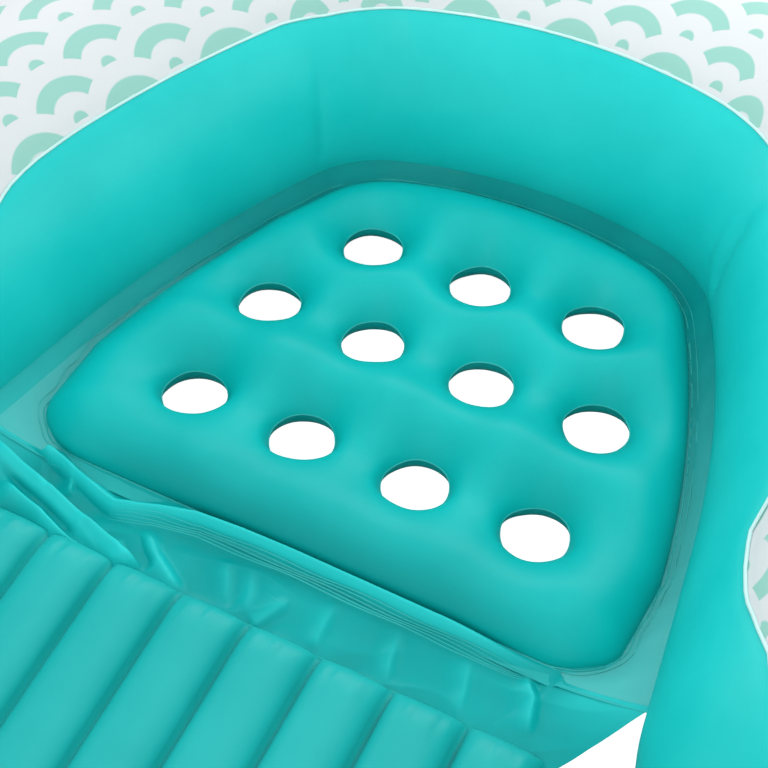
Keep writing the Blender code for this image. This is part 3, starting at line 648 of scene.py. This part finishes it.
DIMPLE_POWER = 2.2
LIP_SOFTENING = 2.5
LIP_WIDTH = 0.05

# The film puffs up most in front of each hole, and at the front holes, where the pad is fullest
HOLE_LIPS = np.clip(0.34 - 1.1 * HOLES[:, 1] - 0.5 * HOLES[:, 0], 0.05, 0.40)


def hole_radius(turn, number):
    """Each hole's edge is a little uneven, as pulled film is."""
    return HOLE_RADIUS * (1 + 0.012 * np.sin(3 * turn + number * 1.7)
                          + 0.010 * np.sin(4 * turn + number * 2.9) + 0.006 * np.sin(6 * turn + number))


def round_hole(spots, number):
    """Turn and distance of plan points about one hole's centre."""
    off = spots - HOLES[number]
    return np.arctan2(off[:, 1], off[:, 0]), np.linalg.norm(off, axis=1)


def crown(spots, pull, lips=np.zeros(len(HOLES))):
    """Share of the pad's full swell at plan points: none at its outline and round its holes."""
    swell = rounded(line_distance(spots, PAD, True) / CROWN_REACH)
    for number, lip in enumerate(lips):
        turn, away = round_hole(spots, number)
        away = (away - hole_radius(turn, number)) / DIMPLE_REACH
        swell = swell * pull(away, lip * (0.5 - 0.5 * np.sin(turn)))
    return swell


def hole_ring(number, away):
    """A plan ring of points round one hole, at a distance from its edge."""
    turn = np.arange(RING_POINTS) / RING_POINTS * tau
    radius = hole_radius(turn, number) + away
    return HOLES[number] + circle(radius, turn)


def hex_points(low, high, step):
    """Plan points over a box, in staggered rows."""
    spots = []
    for row, y in enumerate(np.arange(low[1], high[1], step * 0.866)):
        x = np.arange(low[0] + row % 2 * step / 2, high[0], step)
        spots.append(np.stack([x, np.full(len(x), y)], -1))
    return np.vstack(spots)


def plan_mesh(outline, rings, loose, wanted, height):
    """A sheet triangulated in plan, kept where wanted(middles) and lifted to height(spots)."""
    spots = [outline] + rings + [loose]
    edges = []
    first = 0
    for ring in spots[:-1]:
        count = len(ring)
        edges += [(first + k, first + (k + 1) % count) for k in range(count)]
        first += count
    found, _, faces, _, _, _ = delaunay_2d_cdt([Vector(p) for p in np.vstack(spots)], edges,
                                               [list(range(len(outline)))], 1, 1e-6)
    flat = np.array([tuple(p) for p in found])
    middles = np.array([flat[list(face)].mean(0) for face in faces])
    kept = [face for face, good in zip(faces, wanted(middles)) if good]
    mesh = bpy.data.meshes.new("plan")
    mesh.from_pydata(height(flat).tolist(), [], [list(face) for face in kept])
    add_flat_map(mesh, flat)
    with edited(mesh) as bm:
        bmesh.ops.delete(bm, geom=[corner for corner in bm.verts if not corner.link_faces], context="VERTS")
        bmesh.ops.recalc_face_normals(bm, faces=bm.faces)
        if sum(face.normal.z for face in bm.faces) < 0:
            bmesh.ops.reverse_faces(bm, faces=bm.faces)
    return mesh


def lifted(spots, height):
    """Plan points of the seat at a height, in the part's own frame."""
    return np.stack([spots[:, 0], spots[:, 1] + Y_SHIFT, np.broadcast_to(height, len(spots))], -1)


RING_POINTS = 64
HOLE_RINGS = (0, 0.0005, 0.0012, 0.0022, 0.0035, 0.0050, 0.0070, 0.0095, 0.0135)
RIM_RINGS = (0.0005, 0.0016, 0.0036, 0.0068, 0.0105)


def pad_spots():
    """Rings round the holes and the rim, and points between them."""
    rings = [hole_ring(k, away) for k in range(len(HOLES)) for away in HOLE_RINGS]
    loose = hex_points(PAD.min(0), PAD.max(0), 0.0055)
    near = np.min([np.linalg.norm(loose - centre, axis=1) for centre in HOLES], axis=0)
    rim = line_distance(loose, PAD, True)
    loose = loose[(near > HOLE_RADIUS + 0.017) & inside(loose, PAD) & (rim > 0.012)]
    return rings, np.vstack([loose] + [inset(PAD, away) for away in RIM_RINGS])


def inset(outline, distance):
    """A closed outline moved inwards."""
    along = unit(unit(outline - np.roll(outline, 1, 0)) + unit(np.roll(outline, -1, 0) - outline))
    return outline + np.stack([along[:, 1], -along[:, 0]], -1) * distance


def off_holes(middles):
    good = np.ones(len(middles), dtype=bool)
    for number in range(len(HOLES)):
        turn, distance = round_hole(middles, number)
        good &= distance > hole_radius(turn, number)
    return good


def pad_ripple(spots):
    """Faint pulls that run out from the holes and in from the rim."""
    total = 0.0005 * smooth_noise(spots[:, 0] * 60, spots[:, 1] * 60, 8)
    for number in range(len(HOLES)):
        turn, away = round_hole(spots, number)
        away = away - HOLE_RADIUS
        pulls = 0.00028 * np.sin(9 * turn + number * 2.1) * bump_line(away, 0.010)
        total = total + pulls * np.clip(away / 0.003, 0, 1)
    return total


def add_painted_light_share(mesh, values):
    """Share of painted light for a film's colour, kept as its crease attribute: 1 the full painted highlight,
    as on a ridge, and -1 the full painted shade, as in a valley.
    """
    crease = mesh.attributes.new("crease", "FLOAT", "POINT")
    crease.data.foreach_set("value", np.clip(values, -1, 1).ravel().astype(np.float32))


def painted_front_weld_shade(mesh):
    """Painted shade on the pad's film where it rolls under to its front weld, strongest across the middle and
    fading out towards the sides.
    """
    places = np.empty(3 * len(mesh.vertices))
    mesh.vertices.foreach_get("co", places)
    x, y, _ = places.reshape(-1, 3).T
    ahead = np.clip(y - Y_SHIFT + PAD_FRONT, 0, None)
    return -0.55 * np.exp(-(ahead / 0.030) ** 1.2) * smoothstep((0.24 - np.abs(x)) / 0.14)


def seat():
    rings, loose = pad_spots()

    def top(spots):
        swell = crown(spots, dimple, HOLE_LIPS)
        return lifted(spots, SEAT_HEIGHT + SHEET_OFFSET + CROWN_TOP * swell + pad_ripple(spots) * swell)

    mesh = plan_mesh(PAD, rings, loose, off_holes, top)
    # Painted shade along the pad's front weld, kept in the crease attribute.
    add_painted_light_share(mesh, painted_front_weld_shade(mesh))
    pad = finish_mesh("seat_pad_skin", mesh, TEAL_PAD)
    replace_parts(pad, "seat_top_film")

    def under(spots):
        swell = crown(spots, rounded)
        patch = np.linalg.norm(spots - SEAT_VALVE, axis=1)
        level = CROWN_UNDER * crown(SEAT_VALVE[None], dimple)[0]
        swell = CROWN_UNDER * swell + pad_ripple(spots) * swell
        blend = smoothstep((0.030 - patch) / 0.012)
        return lifted(spots, SEAT_HEIGHT - SHEET_OFFSET - (swell * (1 - blend) + level * blend))

    def under_kept(middles):
        return off_holes(middles) & (np.linalg.norm(middles - SEAT_VALVE, axis=1) > VALVE_HOLE)

    turn = np.arange(40) / 40 * tau
    ring = SEAT_VALVE + circle(VALVE_HOLE + 0.0001, turn)
    mesh = plan_mesh(PAD, rings + [ring], loose, under_kept, under)
    base = finish_mesh("seat_underside_skin", mesh, TEAL_UNDER)
    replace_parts(base, "seat_base_sheet")
    for number in range(len(HOLES)):
        line = lifted(hole_ring(number, 0.0002), SEAT_HEIGHT)
        bead(f"seat_hole_{number + 1}_weld_edge", line, 0.0007, EDGE_TEAL, closed=True)


TUBE_TOUCH = TUBE_RADIUS - 0.0012
TUBE_LINE = at_depth(from_path(TUBE_TOUCH * sin(SEAT_LINE), FULL), -PAD_FRONT - FRONT_HEM)
STRIP_TOP = TUBE_HEIGHT + TUBE_TOUCH * cos(SEAT_LINE)


def strip_share(spots):
    """Distance of plan points from the pad's weld, and their share of the way from there to the tube."""
    to_pad = line_distance(spots, PAD, True)
    return to_pad, to_pad / np.maximum(to_pad + line_distance(spots, TUBE_LINE, False), 1e-9)


def strip_level(spots):
    """Height of the strip: it climbs from the pad's weld to the tube, but for its level front hem."""
    level = SEAT_HEIGHT + (STRIP_TOP - SEAT_HEIGHT) * strip_share(spots)[1]
    hem = smoothstep((0.016 - PAD_FRONT - FRONT_HEM - spots[:, 1]) / 0.012) * (np.abs(spots[:, 0]) < 0.215)
    return level * (1 - hem) + (SEAT_HEIGHT - SHEET_OFFSET) * hem


def strip():
    """The film between the pad's weld and the tube, with its lip down along the tube."""
    front_y = TUBE_LINE[0, 1]
    front_x = np.linspace(TUBE_LINE[-1, 0], TUBE_LINE[0, 0], 110)[1:-1]
    outline = np.vstack([TUBE_LINE, np.stack([front_x, np.full(len(front_x), front_y)], -1)])
    under_pad = inset(PAD, 0.003)
    loose = hex_points(outline.min(0), outline.max(0), 0.0035)
    clear = ~inside(loose, inset(PAD, 0.004)) & inside(loose, outline)
    clear &= (line_distance(loose, outline, True) > 0.0018) & (line_distance(loose, PAD, True) > 0.0015)

    def height(spots):
        to_pad, share = strip_share(spots)
        run = np.arctan2(spots[:, 0], spots[:, 1] + 0.2)
        slack = np.sin(pi * share) * (0.0010 * smooth_noise(run * 28, to_pad * 150, 5)
                                      + 0.0008 * np.sin(run * 60 + 2 * np.sin(run * 13)))
        slack = slack * smoothstep((spots[:, 1] - front_y - 0.004) / 0.012)
        return lifted(spots, strip_level(spots) + slack)

    def kept(middles):
        return ~inside(middles, under_pad)

    mesh = plan_mesh(outline, [under_pad], loose[clear], kept, height)
    skin = finish_mesh("seat_strip_skin", mesh, TEAL_CLEAR_PAINTED_LIGHT)
    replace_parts(skin, "seat_base_sheet")
    lip_angle = SEAT_LINE + radians(6)
    lip = at_depth(from_path(SEAT_LINE_RADIUS * sin(lip_angle), FULL), -PAD_FRONT - FRONT_HEM)
    low = lifted(lip, TUBE_HEIGHT + SEAT_LINE_RADIUS * cos(lip_angle))[:, None]
    edge = lifted(TUBE_LINE, STRIP_TOP)[:, None]
    rows = np.linspace(0, 1, 5)[None, :, None]
    band = edge * (1 - rows) + low * rows
    band_skin = finish_mesh("seat_strip_lip", grid_mesh(band, band[..., :2]), TEAL_CLEAR_PAINTED_LIGHT)
    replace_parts(band_skin, "seat_base_sheet")
    sway = 0.0009 * np.sin(np.arange(len(PAD)) * 0.9) * (PAD[:, 1] < 0.02)
    for name, away, radius in (("pad_weld_edge", 0.0020, 0.0006), ("pad_flange_edge", 0.0062, 0.00035)):
        ring = PAD + (inset(PAD, -1) - PAD) * (away + sway)[:, None]
        ring[:, 1] = np.maximum(ring[:, 1], -PAD_FRONT - 0.0012)
        bead(name, lifted(ring, strip_level(ring) + radius), radius, EDGE_TEAL, closed=True)


# Leg rest

def leg_points(x, ahead, above):
    """Points on the leg rest, from their distance ahead of the hinge and their height over its middle."""
    y = HINGE_Y - ahead * cos(LEG_PITCH) - above * sin(LEG_PITCH) + Y_SHIFT
    z = HINGE_Z - ahead * sin(LEG_PITCH) + above * cos(LEG_PITCH)
    return np.stack(np.broadcast_arrays(x, y, z), -1)


def rib_swell(across, along):
    """Height share of one rib: flat-topped between its welds, pinched at its ends."""
    side = np.clip(np.minimum(across, 1 - across) * RIB_WIDTH - 0.0012, 0, None) / 0.024
    end = np.clip(np.minimum(along, 1 - along) * LEG_LENGTH - 0.0010, 0, None) / 0.028
    return rounded(side) ** 0.70 * rounded(end) ** 0.80


def leg_rest():
    across = np.linspace(0, 1, 21)
    places = np.unique(np.round(np.concatenate([(k + across) / RIB_COUNT for k in range(RIB_COUNT)]), 6))
    ends = 0.5 - 0.5 * np.cos(np.linspace(0, pi, 90))
    near_end = np.linspace(0, 0.12, 40)
    share = np.unique(np.concatenate([ends, near_end, 1 - near_end]))
    u, v = np.meshgrid(places, share, indexing="ij")
    rib = np.clip(np.floor(u * RIB_COUNT - 1e-9), 0, RIB_COUNT - 1)
    local = u * RIB_COUNT - rib
    x = (u - 0.5) * 2 * LEG_HALF_WIDTH
    ahead = LEG_FROM_HINGE + v * LEG_LENGTH
    swell = rib_swell(local, v)
    end = np.minimum(v, 1 - v) * LEG_LENGTH
    gather = np.exp(-(end - 0.012) ** 2 / 0.012 ** 2) * np.sin(local * pi)
    wrinkle = gather * (0.0012 * np.sin(local * 23 + rib * 2.1) + 0.0008 * np.sin(local * 41 + rib))
    wave = 0.0007 * smooth_noise(x * 22, ahead * 22, 12)
    height = SHEET_OFFSET + RIB_HALF * swell + (wrinkle + wave) * swell
    for side, up in (("top", 1), ("bottom", -1)):
        points = flattened(leg_points(x, ahead, up * height))
        mesh = grid_mesh(points, np.stack([x, ahead], -1))
        skin = finish_mesh(f"leg_rest_{side}_skin", mesh, TEAL_LEG, "leg_rest")
        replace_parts(skin, f"leg_rest_{side}_film")
    opened(skin, valve_place("leg_rest_valve"), 4)


def signed_distance(spots, line):
    """Distance to a line of points, positive to the left of its direction, and the share along it."""
    nearest = np.full(len(spots), 1e9)
    left, share = np.zeros((2, len(spots)))
    for k, (start, end) in enumerate(zip(line[:-1], line[1:])):
        step = end - start
        place = np.clip(((spots - start) @ step) / (step @ step), 0, 1)
        off = spots - start - place[:, None] * step
        away = np.linalg.norm(off, axis=1)
        closer = away < nearest
        nearest = np.where(closer, away, nearest)
        turn = step[0] * (spots - start)[:, 1] - step[1] * (spots - start)[:, 0]
        left = np.where(closer, np.sign(turn), left)
        share = np.where(closer, (k + place) / (len(line) - 1), share)
    return nearest * left, share


def fold_rise(x, y):
    """Height of the creases over the slack film at plan points, with the valleys behind them."""
    spots = np.stack([x.ravel(), y.ravel()], -1)
    rise = np.zeros(len(spots))
    for line, lift, inner, outer, fade in FOLDS:
        off, share = signed_distance(spots / MM, np.array(line, dtype=float))
        lift = lift * MM
        profile = np.where(off > 0, np.exp(-(off / inner) ** 2), np.exp(-np.abs(off / outer) ** 1.5))
        profile = profile * smoothstep(share / fade) * smoothstep((1 - share) / fade)
        if lift > 0:
            rise = np.maximum(rise, lift * profile) + 0.25 * np.minimum(rise, lift * profile)
        else:
            rise = rise + lift * profile
    return rise.reshape(x.shape)


def fold_film():
    """Slack film from the seat's front hem to the leg rest, in the long creases that it falls into."""
    columns, rows = 380, 104
    u, t = np.meshgrid(np.linspace(-1, 1, columns), np.linspace(0, 1, rows) ** 1.15, indexing="ij")
    x0 = u * (abs(TUBE_LINE[0, 0]) - 0.0015)
    lap = 0.005 + (FRONT_HEM - 0.0055) * smoothstep((0.222 - np.abs(x0)) / 0.012)
    y0 = -PAD_FRONT - FRONT_HEM + lap
    top = strip_level(np.stack([x0.ravel(), y0.ravel()], -1)).reshape(x0.shape) + 0.0007
    start = np.stack([x0, y0 + Y_SHIFT, top], -1)
    end = leg_points(u * LEG_HALF_WIDTH, LEG_FROM_HINGE + 0.012, SHEET_OFFSET + 0.001)
    points = start + (end - start) * t[..., None]
    x, y = points[..., 0], points[..., 1] - Y_SHIFT
    hold = smoothstep(t / 0.035) * smoothstep((1 - t) / 0.16)
    sag = -0.004 * np.sin(pi * t) * smoothstep((0.20 - np.abs(x)) / 0.05)
    puff = 0.0026 * smooth_noise(x * 40, y * 70, 21) + 0.0008 * smooth_noise(x * 110, y * 160, 4)
    puff = puff + 0.0034 * (0.3 - np.abs(smooth_noise(x * 55, y * 75, 9)))
    rise = fold_rise(x, y)
    points[..., 2] += (rise + (puff + sag) * smoothstep(t / 0.3)) * hold
    mesh = grid_mesh(points, np.stack([x, y], -1))
    # Painted light for the fold film's colour: a painted highlight on each crease by its height and painted
    # shade in its valleys, with its outer corners by the seat's hem painted paler, a painted light for the
    # bright floor under the thin film.
    corner = 0.7 * smoothstep((np.abs(x0) - 0.214) / 0.030) * smoothstep((0.6 - t) / 0.6)
    add_painted_light_share(mesh, np.maximum(rise * hold / CREASE_FULL, corner))
    skin = finish_mesh("fold_film_skin", mesh, TEAL_FOLD, None)
    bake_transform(skin)
    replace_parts(skin, "hinge_film")


# Crease height that gives the full painted highlight colour.
CREASE_FULL = 0.009

# Lines of the creases in plan, from left to right, in millimetres: the places of their points, their height,
# their spread on the pad's side and on the leg rest's side, and the share of their length over which they
# fade. A valley is below 0.
FOLDS = (
    (((-262, -98), (-203, -106), (-168, -116.5), (-144, -120.5), (-128, -117), (-111, -112), (-80, -105),
      (-42, -102.5), (2, -101.5), (48, -102), (109, -102.5), (215, -103)), 11.5, 5, 6.2, 0.08),
    (((-225, -97), (-203, -101.5), (-178, -106), (-160, -107)), -3, 4, 4, 0.3),
    (((-270, -117), (-235, -124), (-200, -131), (-173, -138), (-147, -145), (-125, -149), (-110, -153),
      (-95, -158)), 15, 3, 10.5, 0.14),
    (((-262, -109), (-235, -114.5), (-197, -121.5), (-168, -128.5), (-140, -137), (-118, -145),
      (-95, -152)), -8.5, 6, 6, 0.16),
    (((-237, -141), (-213, -148), (-190, -152), (-179, -156), (-157, -162), (-140, -163)), 9, 3, 7, 0.16),
    (((-250, -131), (-214, -140.5), (-190, -145.5), (-176, -150), (-155, -156)), -6, 3, 3, 0.2),
    (((-165, -146.5), (-150, -153), (-132, -160)), 5.5, 2.6, 5, 0.3),
    (((-129, -142), (-117, -155), (-111, -163)), 5.5, 4, 7, 0.35),
    (((-115, -125), (-94, -143), (-74, -154), (-58, -162)), 7, 6, 8.5, 0.3),
    (((-121, -135), (-105, -146), (-88, -154)), -6, 5, 5, 0.35),
    (((-198, -104), (-189, -114), (-185, -121), (-182, -129)), 5, 2.5, 4, 0.3),
    (((-66, -132), (-50, -142), (-40, -158)), -3, 8, 8, 0.4),
    (((-26, -117), (-14, -140), (-11, -155)), 3.6, 4.5, 8, 0.4),
    (((13, -128), (13, -137), (2, -157), (-1, -162)), 3.6, 3.6, 7.5, 0.4),
    (((-48, -121), (-37, -135), (-22, -163)), 3.2, 5.5, 8, 0.45),
    (((46, -110), (47, -146), (50, -160)), 3.6, 4.5, 8, 0.4),
    (((70, -116), (80, -140), (83, -158)), -3, 8, 8, 0.35),
    (((96, -112), (101, -140), (108, -160)), 3.6, 4.5, 8.5, 0.4),
    (((150, -112), (158, -138), (163, -162)), 3.8, 4.5, 8, 0.4),
    (((190, -108), (205, -128), (212, -155)), 6.5, 4, 8, 0.3),
)


def weld_band():
    """Fine pressed lines along the seat's front hem, where the film is welded on."""
    ends = np.array(((-142, -127), (-107, -116.5), (-72, -110.5), (0, -108), (72, -108.5), (150, -109),
                     (200, -110))) * MM
    x = np.linspace(ends[0, 0], ends[-1, 0], 240)
    for number in range(5):
        y = np.interp(x, *ends.T) - 0.0021 * number - 0.0006 * np.sin(x * 70 + number)
        rise = fold_rise(x, y) + SEAT_HEIGHT + 0.0004
        radius = 0.00042 * np.sin(pi * np.linspace(0.01, 0.99, len(x))) ** 0.5
        bead(f"front_hem_weld_line_{number + 1}", lifted(np.stack([x, y], -1), rise), radius, EDGE_TEAL,
             sides=6)


# Inflation valves

def placed(local, place):
    """Points of a valve's own frame, in the part's frame."""
    matrix = np.array(place)
    return local @ matrix[:3, :3].T + matrix[:3, 3]


def lathe(name, profile, place, body, nodes):
    """A round piece about the valve's axis, from a profile in millimetres."""
    radius, height = soft(profile).T
    turn = np.linspace(0, tau, 65)
    local = np.stack([np.outer(np.cos(turn), radius), np.outer(np.sin(turn), radius),
                      np.broadcast_to(height, (len(turn), len(height)))], -1)
    mesh = grid_mesh(placed(local, place), local[..., :2])
    with edited(mesh) as bm:
        bmesh.ops.remove_doubles(bm, verts=bm.verts, dist=1e-6)
        bmesh.ops.recalc_face_normals(bm, faces=bm.faces)
    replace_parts(finish_mesh(name, mesh, CLEAR, body), nodes)


def soft(profile):
    """A closed profile with its corners taken off."""
    profile = np.array(profile, dtype=float)
    made = []
    for k, here in enumerate(profile):
        if here[0] == 0:
            made.append(here)
            continue
        for other in (profile[k - 1], profile[(k + 1) % len(profile)]):
            step = other - here
            length = np.linalg.norm(step)
            made.append(here + step / length * min(CORNER_CUT, length * 0.4))
    return np.array(made + made[:1]) * MM


def valve_place(name):
    """Place of a valve: its origin on the film, its own z along the push's axis, outwards."""
    low, high = (Vector(corner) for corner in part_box(name + "_flange"))
    push = next(joint for joint in frame["joints"] if joint["name"] == name + "_push")
    axis = Vector(push["axis"]).normalized()
    level = Vector((0, 0, 1)).cross(axis)
    across = level.normalized() if level.length > 1e-5 else Vector((1, 0, 0))
    turn = Matrix((across, axis.cross(across), axis)).transposed().to_4x4()
    return Matrix.Translation((low + high) / 2 + axis * (FILM_STEP + 0.0004)) @ turn


def opened(thing, place, cuts):
    """Opens a round hole for a valve's stem in a skin, which lies level over the flange."""
    with edited(thing.data) as bm:
        back = place.inverted()
        near = [edge for edge in bm.edges
                if all((back @ corner.co).length < FINER_REACH for corner in edge.verts)]
        bmesh.ops.subdivide_edges(bm, edges=near, cuts=cuts, use_grid_fill=True)
        middle = [face for face in bm.faces if (back @ face.calc_center_median()).length < VALVE_SEED]
        rim = {corner for face in middle for corner in face.verts
               if any(other not in middle for other in corner.link_faces)}
        bmesh.ops.delete(bm, geom=middle, context="FACES")
        for corner in bm.verts:
            spot = back @ corner.co
            away = hypot(spot.x, spot.y)
            if abs(spot.z) > FINER_REACH or away > FLANGE_REACH:
                continue
            if away < VALVE_REACH:
                share = 0 if corner in rim else max(0, away - VALVE_SEED) / (VALVE_REACH - VALVE_SEED)
                wanted = VALVE_HOLE + share * (VALVE_REACH - VALVE_HOLE)
                spot = Vector((spot.x * wanted / away, spot.y * wanted / away, spot.z))
                away = wanted
            spot.z *= 1 - float(smoothstep((FLANGE_REACH - away) / (FLANGE_REACH - FLANGE_LEVEL)))
            corner.co = place @ spot


CORNER_CUT = 0.25
VALVE_SEED = 0.004
VALVE_HOLE = 0.0076
VALVE_REACH = 0.020
FLANGE_LEVEL = 0.017
FLANGE_REACH = 0.027
FINER_REACH = 0.032


def valve_ring(name, carrier):
    """The two pressed rings of the weld round a valve, on the level part of the skin."""
    turn = np.arange(72) / 72 * tau
    for number, radius in enumerate((0.0125, 0.0155)):
        spots = placed(np.insert(circle(radius, turn), 2, 0.0002, axis=1), valve_place(name))
        bead(f"{name}_weld_ring_{number + 1}", spots, 0.00035, EDGE, carrier, closed=True)


def valve(name, carrier):
    """The turned pieces of one valve: profiles of (radius, height) from the film's face, in millimetres."""
    place = valve_place(name)
    top = -FILM_STEP / MM
    hole = VALVE_HOLE / MM
    plug = 4.2
    flange = ((16, top), (16, top - 0.8), (hole, top - 0.8), (hole, top))
    stem = ((9.5, 1.5), (9.5, 0.3), (7, 0.3), (7, -17), (9, -17), (9, -18), (4.5, -18), (4.5, 1.5))
    cap = ((0, 3.4), (3, 3.4), (3.4, 3), (6.2, 3), (6.6, 3.4), (8.5, 3.4), (8.5, 1.8), (plug, 1.8),
           (plug, -8), (plug - 1, -9.2), (0, -9.2))
    lathe(name + "_flange_ring", flange, place, carrier, name + "_flange")
    lathe(name + "_stem_tube", stem, place, name + "_stem", name + "_stem")
    lathe(name + "_plug_cap", cap, place, name + "_cap", name + "_cap")


def valve_trim():
    """The straps and flaps keep their CAD shapes and get finished materials."""
    for name, thing in frame["nodes"].items():
        for ending, finish in (("_cap_ring", CLEAR), ("_flap", FLAP)):
            if name.endswith(ending):
                thing.data.materials.clear()
                thing.data.materials.append(finish)


# Floor, light and camera

CHAIR_MIDDLE = (0, 0.1, 0.1)
SKY_LIGHT = 0.73


def stage():
    """A floor and sky that look white but light the film less, and the lamps."""
    bpy.ops.mesh.primitive_plane_add(size=12, location=(0, 0, -0.0006))
    floor = bpy.context.object
    floor.name = "studio_floor"
    made = bpy.data.materials.new("studio_floor")
    tree, shader = shading(made)
    settle(shader, {"Base Color": (0.90, 0.90, 0.90, 1), "Roughness": 0.9, "Emission Color": (1, 1, 1, 1)})
    seen = node(tree, "ShaderNodeLightPath").outputs["Is Camera Ray"]
    link(seen, shader.inputs["Emission Strength"])
    floor.data.materials.append(made)
    world = bpy.data.worlds.new("studio")
    world.use_nodes = True
    tree = world.node_tree
    sky = tree.nodes["Background"]
    sky.inputs["Color"].default_value = (1, 1, 1, 1)
    seen = node(tree, "ShaderNodeLightPath").outputs["Is Camera Ray"]
    link(map_range(tree, seen, 0, 1, SKY_LIGHT, 1.0, "LINEAR"), sky.inputs["Strength"])
    bpy.context.scene.world = world
    world.cycles_visibility.glossy = False
    for name, spot, aim, size, power, beam, shine in (
        ("back_softbox", (-0.2, 2.4, 1.5), CHAIR_MIDDLE, (3.6, 1.8), 34, pi, True),
        ("left_softbox", (-2.7, 1.2, 1.4), CHAIR_MIDDLE, (2.4, 1.6), 11, pi, True),
        ("right_softbox", (2.9, 1.5, 1.2), CHAIR_MIDDLE, (2.4, 1.6), 14, pi, True),
        ("top_softbox", (0.1, 0.2, 2.6), CHAIR_MIDDLE, (2.4, 2.4), 18, pi, False),
        ("front_fill", (0.5, -2.6, 1.5), CHAIR_MIDDLE, (3.0, 2.0), 12, pi, False),
        ("back_rest_grid", (0.2, -1.5, 2.3), (0.10, 0.60, 0.18), (0.4, 0.3), 0.3, radians(22), False),
    ):
        light = bpy.data.lights.new(name, "AREA")
        light.energy = power
        light.shape = "RECTANGLE"
        light.size, light.size_y = size
        light.spread = beam
        lamp = add_object(name, light)
        lamp.location = spot
        lamp.rotation_euler = (Vector(aim) - Vector(spot)).to_track_quat("-Z", "Y").to_euler()
        lamp.visible_glossy = shine


def camera():
    """The photograph's view of the seat."""
    azimuth, elevation, distance = radians(27.9), radians(47.7), 1.214
    back = Vector((sin(azimuth) * cos(elevation), -cos(azimuth) * cos(elevation), sin(elevation)))
    target = Vector((-0.021, 0.083 + Y_SHIFT, SEAT_HEIGHT))
    data = bpy.data.cameras.new("photo_view")
    data.lens = 70
    data.sensor_width = 36
    data.clip_start = 0.05
    thing = add_object("photo_view", data)
    thing.location = target + back * distance
    thing.rotation_euler = (-back).to_track_quat("-Z", "Y").to_euler()
    bpy.context.scene.camera = thing


def main():
    camera()
    stage()
    tube()
    weld_beads()
    bulkhead()
    seat()
    strip()
    leg_rest()
    fold_film()
    weld_band()
    for name in ("left_tube_valve", "right_tube_valve", "seat_valve", "leg_rest_valve"):
        carrier = "leg_rest" if name == "leg_rest_valve" else "chair"
        valve(name, carrier)
        valve_ring(name, carrier)
    valve_trim()
    bpy.context.scene.view_settings.view_transform = "Standard"


main()
